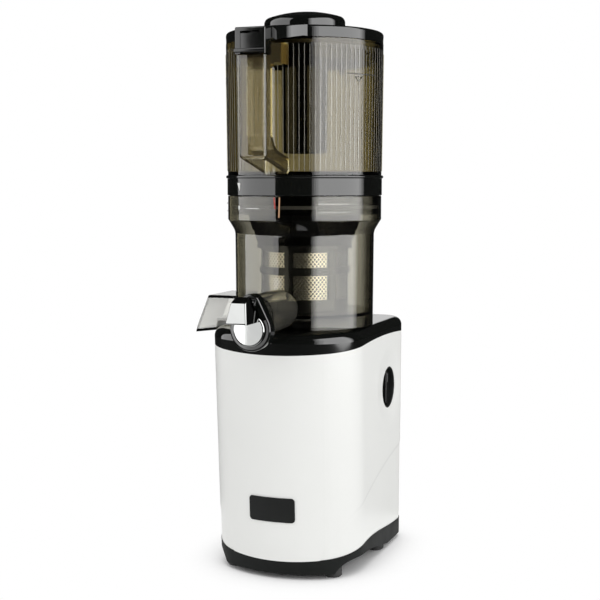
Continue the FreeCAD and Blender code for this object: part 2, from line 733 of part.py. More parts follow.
def base_skin():
    return softened(base_block(0.0), COVER_EDGE_R, lambda b: b.ZMin > BASE_TOP_Z - NEAR)


def side_line(shares, heights):
    """Points of a line along the base, given as shares of its depth and heights."""
    return [(FLOOR_FRONT_Y + share * BASE_DEPTH, z) for share, z in zip(shares, heights)]


def below_cover_line():
    places = (TOP_FRONT_Y - PAST, COVER_LINE_MID_Y, BASE_REAR_Y + PAST)
    return under_line([(y, BASE_TOP_Z - drop) for y, drop in zip(places, COVER_DROPS)])


def below_trim_line():
    return under_line(side_line(TRIM_SHARE, TRIM_Z))


def main_housing(skin):
    shell = skin.common(below_cover_line()).cut(below_trim_line())
    below_crease = under_line(side_line(CREASE_SHARE, CREASE_Z))
    shell = shell.cut(below_crease.cut(base_block(CREASE_DEPTH)))
    shell = shell.cut(base_block(SHELL_WALL))
    shell = shell.cut(cyl_x(SWITCH_HOLE_R, SWITCH_BACK_X, FAR, SWITCH_Y, SWITCH_Z))
    ball_r = (SWITCH_DISH_R ** 2 + SWITCH_DISH_DEPTH ** 2) / (2 * SWITCH_DISH_DEPTH)
    ball_x = SWITCH_SIDE_X - SWITCH_DISH_DEPTH + ball_r
    shell = shell.cut(Part.makeSphere(ball_r, Vector(ball_x, SWITCH_Y, SWITCH_Z)))
    return shell.cut(cyl_y(GLAND_R, BOARD_Y, FAR, GLAND_X, GLAND_Z))


def top_cover(skin):
    plate_low = BASE_TOP_Z - COVER_PLATE
    cover = skin.cut(below_cover_line())
    cover = cover.cut(base_block(SHELL_WALL, plate_low))
    hub = cyl(DRIVE_HUB_R, plate_low, DRIVE_HUB_TOP_Z)
    seat = ring(SEAT_RING_R, SEAT_RING_R - SEAT_RING_WALL, BASE_TOP_Z - PAST, SEAT_RING_TOP_Z)
    lug_low = SEAT_RING_TOP_Z - SEAT_LUG_DROP
    lug = box(
        SEAT_RING_R - SEAT_RING_WALL / 2, SEAT_RING_R + SEAT_LUG_REACH,
        -SEAT_LUG_WIDTH / 2, SEAT_LUG_WIDTH / 2, lug_low, lug_low + SEAT_LUG_HEIGHT,
    )
    lugs = [around_z(lug, 45 + k * 360 / SEAT_LUG_COUNT) for k in range(SEAT_LUG_COUNT)]
    cover = fused(cover, hub, seat, *lugs)
    return cover.cut(cyl(SEAL_R, plate_low - PAST, DRIVE_HUB_TOP_Z + PAST))


def pillar_places():
    return [(side * PILLAR_X, y) for side in (-1, 1) for y in PILLAR_PLACES_Y]


def foot_places():
    """X, Y and top of every foot."""
    places = []
    for inset, behind_front, top in FOOT_PAIRS:
        x = FLOOR_HALF_WIDTH - inset
        y = FLOOR_FRONT_Y + behind_front
        places += [(-x, y, top), (x, y, top)]
    return places


def board_posts():
    half_x = BOARD_SIZE[0] / 2 - BOARD_POST_INSET
    half_y = BOARD_SIZE[1] / 2 - BOARD_POST_INSET
    return [(sx * half_x, BOARD_Y + sy * half_y) for sx in (-1, 1) for sy in (-1, 1)]


def bottom_cover(skin):
    cover = skin.common(below_trim_line())
    tray = base_block(SHELL_WALL).cut(under_line(side_line(TRAY_SHARE, TRAY_Z)))
    low_ends = box(-FAR, FAR, -FAR, FAR, -FAR, TRAY_END_Z)
    cover = cover.cut(tray.cut(low_ends))
    pillars = [cyl(PILLAR_R, PAD_FOOT_Z, MOTOR_TOP_Z, x, y) for x, y in pillar_places()]
    posts = [cyl(BOARD_POST_R, PAD_FOOT_Z, BOARD_Z, x, y) for x, y in board_posts()]
    pads = [cyl(FOOT_PAD_R, PAD_FOOT_Z, top + FOOT_PAD_WALL, x, y) for x, y, top in foot_places()]
    pads = [pad.common(base_block(FOOT_PAD_INSET)) for pad in pads]
    cover = fused(cover, *pillars, *posts, *pads)
    cover = cover.cut(under_line(side_line(ARCH_SHARE, ARCH_Z)))
    holes = [cyl(FOOT_R, -PAST, top, x, y) for x, y, top in foot_places()]
    screw_low = MOTOR_TOP_Z - GEARBOX_SCREW_HOLE
    holes += [cyl(GEARBOX_SCREW_R, screw_low, MOTOR_TOP_Z + PAST, x, y) for x, y in pillar_places()]
    for k in range(SLOT_COUNT):
        x = (k - (SLOT_COUNT - 1) / 2) * SLOT_PITCH
        holes.append(block((SLOT_WIDTH, SLOT_LENGTH, MOTOR_BOTTOM_Z), x, SLOT_Y, 0.0))
    return cover.cut(Part.makeCompound(holes))


def rubber_feet():
    feet = []
    for x, y, top in foot_places():
        foot = cyl(FOOT_R, 0.0, top, x, y)
        feet.append(foot.makeChamfer(FOOT_EDGE, [e for e in foot.Edges if e.BoundBox.ZMax < NEAR]))
    return Part.makeCompound(feet)


def nameplate():
    slab = block((PLATE_WIDTH, 2 * FAR, PLATE_HEIGHT), 0.0, -FAR, PLATE_Z - PLATE_HEIGHT / 2)
    slab = softened(slab, PLATE_CORNER_R, lambda b: b.YLength > FAR)
    slab = slab.common(base_block(-PLATE_GLUE - PLATE_THICK))
    return slab.cut(base_block(-PLATE_GLUE))


# Switch

def switch_cup():
    floor = SWITCH_BACK_X + SWITCH_CUP_FLOOR
    bore_r = SWITCH_HOLE_R - SWITCH_CUP_WALL
    cup = cyl_x(SWITCH_HOLE_R, SWITCH_BACK_X, SWITCH_MOUTH_X, SWITCH_Y, SWITCH_Z)
    cup = cup.cut(cyl_x(bore_r, floor, FAR, SWITCH_Y, SWITCH_Z))
    widest = 2 * bore_r + NEAR
    cup = softened(cup, SWITCH_CUP_EDGE, lambda b: b.XMin > SWITCH_MOUTH_X - NEAR and b.ZLength < widest)
    return cup.cut(cyl_x(DIAL_STEM_R + RUN_GAP, 0.0, FAR, SWITCH_Y, SWITCH_Z))


def switch_dial():
    face = DIAL_BACK_X + DIAL_DISC
    crest = face + DIAL_GRIP
    disc = cyl_x(DIAL_R, DIAL_BACK_X, face, SWITCH_Y, SWITCH_Z)
    half = DIAL_GRIP_WIDTH / 2
    grip = box(face - PAST, crest, SWITCH_Y - half, SWITCH_Y + half, SWITCH_Z - DIAL_R, SWITCH_Z + DIAL_R)
    grip = grip.common(cyl_x(DIAL_R, DIAL_BACK_X, FAR, SWITCH_Y, SWITCH_Z))
    grip = softened(grip, DIAL_EDGE_R, lambda b: b.XMin > crest - NEAR)
    stem_back = SWITCH_BODY_X + SWITCH_BODY_BACK + PAST
    stem = cyl_x(DIAL_STEM_R, stem_back, DIAL_BACK_X + PAST, SWITCH_Y, SWITCH_Z)
    return fused(disc, grip, stem)


def switch_body():
    half = SWITCH_BODY_SIZE / 2
    body = box(
        SWITCH_BODY_X, SWITCH_BACK_X, SWITCH_Y - half, SWITCH_Y + half, SWITCH_Z - half, SWITCH_Z + half,
    )
    body = softened(body, SWITCH_BODY_CORNER_R, lambda b: b.XLength > PAST)
    bore = cyl_x(DIAL_STEM_R + RUN_GAP, SWITCH_BODY_X + SWITCH_BODY_BACK, FAR, SWITCH_Y, SWITCH_Z)
    tag_size = (SWITCH_TAG_REACH + PAST, SWITCH_TAG_WIDTH, SWITCH_TAG_THICK)
    tag_x = SWITCH_BODY_X + PAST - tag_size[0] / 2
    tag_z = SWITCH_Z - SWITCH_TAG_DROP
    tags = [block(tag_size, tag_x, SWITCH_Y + k * SWITCH_TAG_PITCH, tag_z) for k in (-1, 0, 1)]
    return fused(body.cut(bore), *tags)


# Motor and gearbox

def motor():
    can = cyl(MOTOR_R, MOTOR_BOTTOM_Z, MOTOR_TOP_Z)
    can = softened(can, MOTOR_EDGE_R, lambda b: b.ZMax < MOTOR_BOTTOM_Z + NEAR)
    groove = box(
        MOTOR_R - MOTOR_RIB_DEPTH, MOTOR_R + PAST, -MOTOR_RIB_WIDTH / 2, MOTOR_RIB_WIDTH / 2,
        MOTOR_BOTTOM_Z + MOTOR_RIB_FROM_END, MOTOR_TOP_Z - MOTOR_RIB_FROM_END,
    )
    grooves = [around_z(groove, k * 360 / MOTOR_RIB_COUNT) for k in range(MOTOR_RIB_COUNT)]
    can = can.cut(Part.makeCompound(grooves))
    return can.cut(cyl(MOTOR_SHAFT_R + RUN_GAP, MOTOR_TOP_Z - MOTOR_SHAFT_SUNK - PAST, MOTOR_TOP_Z + PAST))


def above_motor(span):
    return (MOTOR_TOP_Z + span[0], MOTOR_TOP_Z + span[1])


def gear_outline(teeth, module, first_tooth_deg):
    """Corners of an involute gear, its flanks in three short lines."""
    pitch_r = teeth * module / 2
    base_r = pitch_r * math.cos(PRESSURE_ANGLE)
    tip_r = pitch_r + module
    root_r = pitch_r - 1.25 * module
    half_at_pitch = math.pi / (2 * teeth) - TOOTH_PLAY / 2 / pitch_r
    involute_at_pitch = math.tan(PRESSURE_ANGLE) - PRESSURE_ANGLE

    def half_angle(r):
        if r <= base_r:
            return half_at_pitch + involute_at_pitch
        alpha = math.acos(base_r / r)
        return half_at_pitch + involute_at_pitch - (math.tan(alpha) - alpha)

    start_r = max(base_r, root_r + 0.1 * module)
    steps = 3
    radii = [start_r + (tip_r - start_r) * k / steps for k in range(steps + 1)]
    points = []
    for tooth in range(teeth):
        middle = math.radians(first_tooth_deg) + tooth * 2 * math.pi / teeth
        rising = [(root_r, -half_angle(start_r))] + [(r, -half_angle(r)) for r in radii]
        falling = [(r, -a) for r, a in reversed(rising)]
        points += [(r, middle + a) for r, a in rising + falling]
    return [(r * math.cos(a), r * math.sin(a)) for r, a in points]


def gear(teeth, module, first_tooth_deg, span, y):
    low, high = above_motor(span)
    corners = [Vector(px, py + y, low) for px, py in gear_outline(teeth, module, first_tooth_deg)]
    return Part.Face(closed(corners)).extrude(Vector(0, 0, high - low))


def motor_shaft():
    shaft = cyl(MOTOR_SHAFT_R, MOTOR_TOP_Z - MOTOR_SHAFT_SUNK, above_motor(MOTOR_PINION_SPAN)[1])
    return fused(shaft, gear(PINION_TEETH, FIRST_MODULE, 90.0, MOTOR_PINION_SPAN, 0.0))


def reduction_gear():
    first_deg = 270.0 + 180.0 / FIRST_WHEEL_TEETH
    wheel = gear(FIRST_WHEEL_TEETH, FIRST_MODULE, first_deg, FIRST_WHEEL_SPAN, GEAR_CENTRES)
    pinion = gear(PINION_TEETH, SECOND_MODULE, 270.0, SECOND_PINION_SPAN, GEAR_CENTRES)
    low = above_motor(FIRST_WHEEL_SPAN)[0]
    high = above_motor(SECOND_PINION_SPAN)[1]
    web = ring(FIRST_WEB_R, WEB_HUB_R, low - PAST, low + WEB_DEPTH, 0.0, GEAR_CENTRES)
    whole = fused(wheel.cut(web), pinion)
    return whole.cut(cyl(COUNTERSHAFT_R, low - PAST, high + PAST, 0.0, GEAR_CENTRES))


def countershaft():
    low = MOTOR_TOP_Z + COUNTERSHAFT_PLAY
    high = GEARBOX_TOP_Z + GEARBOX_COVER_PLATE - COUNTERSHAFT_PLAY
    return cyl(COUNTERSHAFT_R, low, high, 0.0, GEAR_CENTRES)


def countershaft_bushes():
    bore = COUNTERSHAFT_R + RUN_GAP
    low = ring(BUSH_R, bore, MOTOR_TOP_Z, MOTOR_TOP_Z + GEARBOX_PLATE, 0.0, GEAR_CENTRES)
    high = ring(BUSH_R, bore, GEARBOX_TOP_Z, GEARBOX_TOP_Z + GEARBOX_COVER_PLATE, 0.0, GEAR_CENTRES)
    return Part.makeCompound([low, high])


def output_gear():
    first_deg = 90.0 + 180.0 / OUTPUT_WHEEL_TEETH
    low, high = above_motor(OUTPUT_WHEEL_SPAN)
    wheel = gear(OUTPUT_WHEEL_TEETH, SECOND_MODULE, first_deg, OUTPUT_WHEEL_SPAN, 0.0)
    web = ring(OUTPUT_WEB_R, WEB_HUB_R, high - WEB_DEPTH, high + PAST)
    return wheel.cut(web).cut(cyl(DRIVE_R, low - PAST, high + PAST))


def drive_shaft():
    journal = cyl(DRIVE_R, MOTOR_TOP_Z + DRIVE_FOOT_LIFT, HEX_FOOT_Z)
    head = hexagon(HEX_FLATS, HEX_FOOT_Z, HEX_TOP_Z)
    point_z = HEX_TOP_Z - HEX_POINT
    point = cone(HEX_FLATS * 0.8, HEX_FLATS * 0.36, point_z, HEX_TOP_Z)
    head = head.common(fused(point, cyl(HEX_FLATS, HEX_FOOT_Z - PAST, point_z)))
    return fused(journal, head)


def stadium(r, z0, z1):
    middle = box(-r, r, 0.0, GEAR_CENTRES, z0, z1)
    return fused(middle, cyl(r, z0, z1), cyl(r, z0, z1, 0.0, GEAR_CENTRES))


def gearbox_housing():
    plate_top = MOTOR_TOP_Z + GEARBOX_PLATE
    low = MOTOR_TOP_Z - PAST
    high = plate_top + PAST
    tub = stadium(GEARBOX_R, MOTOR_TOP_Z, GEARBOX_TOP_Z)
    tub = tub.cut(stadium(GEARBOX_R - GEARBOX_WALL, plate_top, GEARBOX_TOP_Z + PAST))
    ears = [cyl(EAR_R, MOTOR_TOP_Z, plate_top, x, y) for x, y in pillar_places()]
    webs = [block((2 * PILLAR_X, 2 * EAR_R, GEARBOX_PLATE), 0.0, y, MOTOR_TOP_Z) for y in PILLAR_PLACES_Y]
    tub = fused(tub, *ears, *webs)
    holes = [cyl(GEARBOX_SCREW_R, low, high, x, y) for x, y in pillar_places()]
    holes.append(cyl(SHAFT_HOLE_R, low, high))
    holes.append(cyl(BUSH_R, low, high, 0.0, GEAR_CENTRES))
    return tub.cut(Part.makeCompound(holes))


def gearbox_cover():
    plate_top = GEARBOX_TOP_Z + GEARBOX_COVER_PLATE
    rib_low = plate_top - PAST
    rib_top = plate_top + GEARBOX_RIB_HEIGHT
    half = GEARBOX_RIB / 2
    plate = stadium(GEARBOX_R, GEARBOX_TOP_Z, plate_top)
    boss = cyl(BEARING_R + BEARING_BOSS_WALL, rib_low, BEARING_BOSS_TOP_Z)
    rib = box(-half, half, BEARING_R, GEAR_CENTRES + GEARBOX_RIB_REACH, rib_low, rib_top)
    cross = box(-GEARBOX_RIB_REACH, GEARBOX_RIB_REACH, -half, half, rib_low, rib_top)
    cover = fused(plate, boss, rib, cross)
    seat_z = MOTOR_TOP_Z + BEARING_LIFTS[0]
    bore = fused(
        cyl(BEARING_R, seat_z, BEARING_BOSS_TOP_Z + PAST),
        cyl(BEARING_R - BEARING_SHOULDER, GEARBOX_TOP_Z - PAST, seat_z + PAST),
    )
    return cover.cut(bore).cut(cyl(BUSH_R, GEARBOX_TOP_Z - PAST, rib_top + PAST, 0.0, GEAR_CENTRES))


def gearbox_screws():
    plate_top = MOTOR_TOP_Z + GEARBOX_PLATE
    head_top = plate_top + GEARBOX_SCREW_HEAD
    slot_size = (3 * GEARBOX_SCREW_HEAD_R, SCREW_SLOT, 2 * SCREW_SLOT)
    screws = []
    for x, y in pillar_places():
        shank = cyl(GEARBOX_SCREW_R, MOTOR_TOP_Z - GEARBOX_SCREW_REACH, plate_top + PAST, x, y)
        head = cyl(GEARBOX_SCREW_HEAD_R, plate_top, head_top, x, y)
        screws.append(fused(shank, head).cut(block(slot_size, x, y, head_top - SCREW_SLOT)))
    return Part.makeCompound(screws)


def drive_bearings():
    rings = []
    for lift in BEARING_LIFTS:
        low = MOTOR_TOP_Z + lift
        top = low + BEARING_WIDTH
        bearing = ring(BEARING_R, DRIVE_R + RUN_GAP, low, top)
        groove = ring(BEARING_R - BEARING_RACE, DRIVE_R + BEARING_RACE, top - BEARING_GROOVE, top + PAST)
        rings.append(bearing.cut(groove))
    return Part.makeCompound(rings)


def shaft_seal():
    seat = BASE_TOP_Z - COVER_PLATE
    top = DRIVE_HUB_TOP_Z
    bore = DRIVE_R + RUN_GAP
    return turned([
        (bore, seat), (SEAL_R, seat), (SEAL_R, top), (SEAL_R - SEAL_LIP, top),
        (DRIVE_R + SEAL_LIP, top - 2 * SEAL_LIP), (bore, top - SEAL_LIP),
    ])


def control_board():
    card = block((BOARD_SIZE[0], BOARD_SIZE[1], BOARD_THICK), 0.0, BOARD_Y, BOARD_Z)
    foot = BOARD_Z + BOARD_THICK - BOARD_PART_SUNK
    coil = block(COIL_SIZE, COIL_X, BOARD_Y, foot)
    can = cyl(CAPACITOR_R, foot, foot + CAPACITOR_HEIGHT, CAPACITOR_X, BOARD_Y)
    bridge = block(BRIDGE_SIZE, BRIDGE_X, BOARD_Y - BRIDGE_FROM_MID, foot)
    plug = block(PLUG_SIZE, BRIDGE_X, BOARD_Y + BRIDGE_FROM_MID, foot)
    return fused(card, coil, can, bridge, plug)


def cord_gland():
    wall = BASE_REAR_Y - SHELL_WALL
    nose_y = GLAND_FACE_Y + GLAND_LIP
    barrel = cyl_y(GLAND_R, wall - GLAND_NUT, GLAND_FACE_Y, GLAND_X, GLAND_Z)
    lip = cyl_y(GLAND_LIP_R, GLAND_FACE_Y, nose_y, GLAND_X, GLAND_Z)
    lip = softened(lip, GLAND_LIP_EDGE_R, lambda b: b.YMin > nose_y - NEAR)
    nut = cyl_y(GLAND_LIP_R, wall - GLAND_NUT, wall, GLAND_X, GLAND_Z)
    return fused(barrel, lip, nut).cut(cyl_y(GLAND_BORE_R, 0.0, FAR, GLAND_X, GLAND_Z))


# Juicing bowl

def juicing_bowl():
    inner_neck = BOWL_NECK_R - BOWL_WALL
    inner_band = BODY_R - BOWL_WALL
    inner_foot = BOWL_FOOT_R - BOWL_WALL
    floor_low = BOWL_FLOOR_Z - BOWL_FLOOR
    bowl = turned([
        (BOWL_FOOT_R, BOWL_FOOT_Z), (BOWL_NECK_R, BOWL_NECK_Z, BOWL_NECK_ROUND),
        (BODY_R, BOWL_BAND_Z, BOWL_BAND_ROUND), (BODY_R, BOWL_RIM_Z, BOWL_RIM_ROUND),
        (inner_band, BOWL_RIM_Z, BOWL_RIM_ROUND), (inner_band, BOWL_BAND_Z, BOWL_BAND_ROUND),
        (inner_neck, BOWL_NECK_Z, BOWL_NECK_ROUND), (inner_foot, BOWL_FLOOR_Z),
        (BOWL_HUB_R, BOWL_FLOOR_Z), (BOWL_HUB_R, BOWL_HUB_TOP_Z), (BOWL_SEAL_R, BOWL_HUB_TOP_Z),
        (BOWL_SEAL_R, BOWL_SEAL_SEAT_Z), (BOWL_HUB_BORE_R, BOWL_SEAL_SEAT_Z),
        (BOWL_HUB_BORE_R, BOWL_HUB_FOOT_Z), (BOWL_HUB_R, BOWL_HUB_FOOT_Z), (BOWL_HUB_R, floor_low),
        (inner_foot, floor_low), (inner_foot, BOWL_FOOT_Z),
    ])
    cavity = turned([
        (BOWL_HUB_R, BOWL_FLOOR_Z), (inner_foot, BOWL_FLOOR_Z), (inner_neck, BOWL_NECK_Z),
        (BOWL_HUB_R, BOWL_NECK_Z),
    ])
    under = cyl(inner_foot, BASE_FLOOR_Z, floor_low)
    root_y = TUBE_ROOT - BOWL_FOOT_R
    tube = cyl_y(TUBE_R, TUBE_END_Y, root_y, 0.0, TUBE_Z).cut(cavity).cut(under)
    bowl = fused(bowl, tube)
    bore = cyl_y(TUBE_R - TUBE_WALL, TUBE_END_Y - PAST, root_y, 0.0, TUBE_Z)
    bowl = bowl.cut(bore.cut(cyl(BOWL_FOOT_R + PAST, 0.0, BOWL_FLOOR_Z)))
    half = PULP_WINDOW_HALF
    return bowl.cut(box(-FAR, 3 * BOWL_WALL - BOWL_FOOT_R, -half, half, *PULP_WINDOW_Z))


def bowl_seal():
    bore = SOCKET_R + BOWL_SEAL_PLAY
    return turned([
        (bore, BOWL_SEAL_SEAT_Z), (BOWL_SEAL_R, BOWL_SEAL_SEAT_Z), (BOWL_SEAL_R, BOWL_HUB_TOP_Z),
        (bore + BOWL_SEAL_LIP, BOWL_HUB_TOP_Z), (bore, BOWL_HUB_TOP_Z - BOWL_SEAL_LIP),
    ])


def teardrop(grow, y0, y1):
    """Round foot and small crown joined by their two common tangents."""
    r_low = SPOUT_R + grow
    r_high = SPOUT_CROWN_R + grow
    tilt = math.asin((r_low - r_high) / (SPOUT_CROWN_Z - SPOUT_Z))
    c, s = math.cos(tilt), math.sin(tilt)
    flank = [
        (r_low * c, SPOUT_Z + r_low * s), (r_high * c, SPOUT_CROWN_Z + r_high * s),
        (-r_high * c, SPOUT_CROWN_Z + r_high * s), (-r_low * c, SPOUT_Z + r_low * s),
    ]
    foot = cyl_y(r_low, y0, y1, 0.0, SPOUT_Z)
    crown = cyl_y(r_high, y0, y1, 0.0, SPOUT_CROWN_Z)
    return fused(prism_y(flank, y0, y1), foot, crown)


def spout_head():
    head = teardrop(0.0, SPOUT_FACE_Y, TUBE_END_Y)
    head = softened(head, SPOUT_EDGE_R, lambda b: b.YMax < SPOUT_FACE_Y + NEAR)
    pocket = cyl_y(TUBE_R - TUBE_WALL, TUBE_END_Y - SPOUT_POCKET, TUBE_END_Y + PAST, 0.0, TUBE_Z)
    pocket = pocket.common(teardrop(-SPOUT_POCKET_WALL, SPOUT_FACE_Y, TUBE_END_Y + PAST))
    basin = cyl_y(SPOUT_HOLE_R, SPOUT_FACE_Y - PAST, TUBE_END_Y - SPOUT_BASIN_BACK, 0.0, SPOUT_Z)
    head = head.cut(fused(pocket, basin))
    ear = fused(
        cyl_x(CAP_EAR_R, CAP_EAR_INNER_X, CAP_EAR_OUTER_X, CAP_PIN_Y, CAP_PIN_Z),
        box(
            CAP_EAR_INNER_X, CAP_EAR_OUTER_X, CAP_PIN_Y, SPOUT_FACE_Y + SPOUT_EDGE_R,
            CAP_PIN_Z - CAP_EAR_R, CAP_PIN_Z + CAP_EAR_R,
        ),
    )
    head = fused(head, ear, mirrored_x(ear))
    return head.cut(cyl_x(CAP_PIN_R, -FAR, FAR, CAP_PIN_Y, CAP_PIN_Z))


def cap_pin():
    return cyl_x(CAP_PIN_R, -CAP_EAR_OUTER_X, CAP_EAR_OUTER_X, CAP_PIN_Y, CAP_PIN_Z)


def from_pin(place):
    """(y, z) of a place given forward and up from the cap's pin."""
    return (CAP_PIN_Y - place[0], CAP_PIN_Z + place[1])


def cap_lever():
    disc_back = SPOUT_FACE_Y - SEAT_GAP
    disc_front = disc_back - CAP_DISC
    disc = cyl_y(CAP_DISC_R, disc_front, disc_back, 0.0, SPOUT_Z)
    disc = softened(disc, CAP_DISC_EDGE_R, lambda b: b.YMax < disc_front + NEAR)
    foot_z = from_pin(LEVER_FOOT)[1]
    arm_y, arm_z = from_pin(LEVER_ARM)
    brow_z = from_pin(LEVER_BROW)[1]
    crest_z = from_pin(LEVER_CREST)[1]
    root_y = disc_front + LEVER_ROUND
    grip = prism_x([
        from_pin(LEVER_FOOT), from_pin(LEVER_BROW), from_pin(LEVER_CREST), from_pin(LEVER_HEEL),
        (arm_y, arm_z), (root_y, arm_z), (root_y, foot_z),
    ], -LEVER_FOOT_HALF, LEVER_FOOT_HALF)
    grip = grip.common(prism_y([
        (-LEVER_FOOT_HALF, foot_z), (LEVER_FOOT_HALF, foot_z), (LEVER_TOP_HALF, brow_z),
        (LEVER_CREST_HALF, crest_z), (-LEVER_CREST_HALF, crest_z), (-LEVER_TOP_HALF, brow_z),
    ], -FAR, 0.0))
    grip = softened(grip, LEVER_ROUND, lambda b: b.YMax < from_pin(LEVER_BROW)[0] + NEAR)
    half = CAP_EAR_INNER_X - SLIDE_GAP
    tongue = fused(
        cyl_x(CAP_EAR_R, -half, half, CAP_PIN_Y, CAP_PIN_Z),
        box(-half, half, arm_y - 2 * LEVER_ROUND, CAP_PIN_Y, arm_z, CAP_PIN_Z + LEVER_TONGUE_LIFT),
    )
    lever = fused(disc, grip, tongue)
    return lever.cut(cyl_x(CAP_PIN_R + RUN_GAP, -FAR, FAR, CAP_PIN_Y, CAP_PIN_Z))


def cap_seal():
    back = SPOUT_FACE_Y - SEAT_GAP
    return cyl_y(CAP_SEAL_R, back, back + CAP_SEAL_DEPTH, 0.0, SPOUT_Z)


def off_base(place):
    """(x, z) of a place given out from the base's left edge and up from its top."""
    return (-TOP_HALF_WIDTH - place[0], BASE_TOP_Z + place[1])


def pulp_chute():
    w = CHUTE_WALL
    root_x = CHUTE_ROOT - BOWL_FOOT_R
    top_z = BASE_TOP_Z + CHUTE_LIFT
    floor_z = BASE_TOP_Z + CHUTE_FLOOR_LIFT
    shoulder_x = -TOP_HALF_WIDTH - CHUTE_SHOULDER
    heel_x = -TOP_HALF_WIDTH - CHUTE_HEEL_TOP
    tip_x, tip_z = off_base(CHUTE_TIP)
    lip_x, lip_z = off_base(CHUTE_LIP)
    foot_x, foot_z = off_base(CHUTE_HEEL)
    shell = prism_y([
        (root_x, top_z), (shoulder_x, top_z, CHUTE_ROUND), (tip_x, tip_z, CHUTE_TIP_ROUND), (lip_x, lip_z),
        (foot_x, foot_z), (heel_x, floor_z), (root_x, floor_z),
    ], CHUTE_FRONT_Y, CHUTE_REAR_Y)
    shell = softened(shell, CHUTE_EDGE_R, lambda b: b.ZMin > top_z - NEAR and b.XLength > CHUTE_ROUND)
    inside = prism_y([
        (root_x + PAST, top_z - w), (shoulder_x + w / 2, top_z - w), (tip_x + w, tip_z),
        (lip_x + w, lip_z - w), (foot_x - w, lip_z - w), (heel_x - w / 2, floor_z + w),
        (root_x + PAST, floor_z + w),
    ], CHUTE_FRONT_Y + w, CHUTE_REAR_Y - w)
    return shell.cut(inside).cut(cone(BOWL_FOOT_R, BOWL_NECK_R, BOWL_FOOT_Z, BOWL_NECK_Z))


def pulp_gasket():
    half = PULP_WINDOW_HALF
    low, high = PULP_WINDOW_Z
    lip = PULP_GASKET_LIP
    frame = box(-FAR, 0.0, -half, half, low, high)
    frame = frame.cut(box(-FAR, 0.0, -half + lip, half - lip, low + lip, high - lip))
    return frame.common(ring(BOWL_FOOT_R, BOWL_FOOT_R - BOWL_WALL, low, high))


# Strainer and screw

def above_floor(span):
    return (BOWL_FLOOR_Z + span[0], BOWL_FLOOR_Z + span[1])


def strainer_window(span, deg):
    """Wedge of the wall between two ribs."""
    low, high = above_floor(span)
    reach = 2 * STRAINER_R
    half = math.radians(WINDOW_SPAN_DEG / 2)
    a = Vector(reach * math.sin(-half), -reach * math.cos(half), low)
    b = Vector(reach * math.sin(half), -reach * math.cos(half), low)
    wedge = Part.Face(closed([Vector(0, 0, low), a, b])).extrude(Vector(0, 0, high - low))
    return around_z(wedge, deg)


def strainer_frame():
    low = BOWL_FLOOR_Z + SEAT_GAP
    inner = STRAINER_R - STRAINER_WALL
    cage = turned([
        (STRAINER_BORE_R, low), (STRAINER_R, low), (STRAINER_R, STRAINER_FLANGE_Z),
        (STRAINER_FLANGE_R, STRAINER_FLANGE_Z), (STRAINER_FLANGE_R, STRAINER_TOP_Z),
        (inner, STRAINER_TOP_Z), (inner, low + STRAINER_FLOOR), (STRAINER_BORE_R, low + STRAINER_FLOOR),
    ])
    hoop_mid = BOWL_FLOOR_Z + (WINDOW_ROWS[0][1] + WINDOW_ROWS[1][0]) / 2
    hoop_half = STRAINER_HOOP / 2
    cage = fused(cage, ring(STRAINER_HOOP_R, inner, hoop_mid - hoop_half, hoop_mid + hoop_half))
    windows = []
    for row in WINDOW_ROWS:
        for k in range(WINDOW_COUNT):
            windows.append(strainer_window(row, 30 + k * 360 / WINDOW_COUNT))
    cage = cage.cut(Part.makeCompound(windows))
    half = PULP_WINDOW_HALF
    duct_low, duct_high = PULP_WINDOW_Z
    duct_end = -math.sqrt((BOWL_FOOT_R - BOWL_WALL - PULP_DUCT_PLAY) ** 2 - half ** 2)
    wall = PULP_DUCT_WALL
    duct = box(duct_end, wall - inner, -half, half, duct_low - PULP_DUCT_FOOT, duct_high)
    duct = duct.cut(cyl(inner, BASE_TOP_Z, BOWL_RIM_Z))
    way_low = BOWL_FLOOR_Z + SEAT_GAP + STRAINER_FLOOR
    way = box(-FAR, 5 * wall - inner, wall - half, half - wall, way_low, duct_high - wall)
    return fused(cage, duct).cut(way)


def strainer_mesh():
    outer = STRAINER_R - STRAINER_WALL - MESH_GAP
    low, high = above_floor(MESH_SPAN)
    sheet = ring(outer, outer - MESH_WALL, low, high)
    half = PULP_WINDOW_HALF - PULP_DUCT_WALL
    return sheet.cut(box(-FAR, 0.0, -half, half, low - PAST, PULP_WINDOW_Z[1] - PULP_DUCT_WALL))


def flight(r_in, r_out, pitch, span, thick, deg):
    """One helical blade, its root inside the core."""
    low, high = above_floor(span)
    helix = Part.makeHelix(pitch, high - low - thick, (r_in + r_out) / 2)
    helix.translate(Vector(0, 0, low + thick / 2))
    profile = closed([
        Vector(r_in, 0, low), Vector(r_out, 0, low + thick * 0.2),
        Vector(r_out, 0, low + thick * 0.8), Vector(r_in, 0, low + thick),
    ])
    blade = Part.Wire(helix).makePipeShell([profile], True, True)
    return around_z(blade, deg)


def juicing_screw():
    core = [(r, BOWL_FLOOR_Z + lift) for r, lift in SCREW_CORE]
    screw = turned([(0.0, core[0][1])] + core + [(0.0, core[-1][1])])
    press_span = (SCREW_CORE[0][1], SCREW_PRESS_TOP)
    for k in range(SCREW_FLIGHT_STARTS):
        deg = k * 360 / SCREW_FLIGHT_STARTS
        screw = screw.fuse(flight(
            SCREW_FLIGHT_ROOT_R, SCREW_FLIGHT_R, SCREW_FLIGHT_PITCH, press_span, SCREW_FLIGHT_THICK, deg,
        ))
    screw = screw.fuse(flight(
        FEED_FLIGHT_ROOT_R, FEED_FLIGHT_R, FEED_FLIGHT_PITCH, FEED_FLIGHT_SPAN, FEED_FLIGHT_THICK,
        FEED_FLIGHT_START_DEG,
    ))
    return screw.cut(cyl(SOCKET_R, SOCKET_FOOT_Z, SOCKET_TOP_Z))


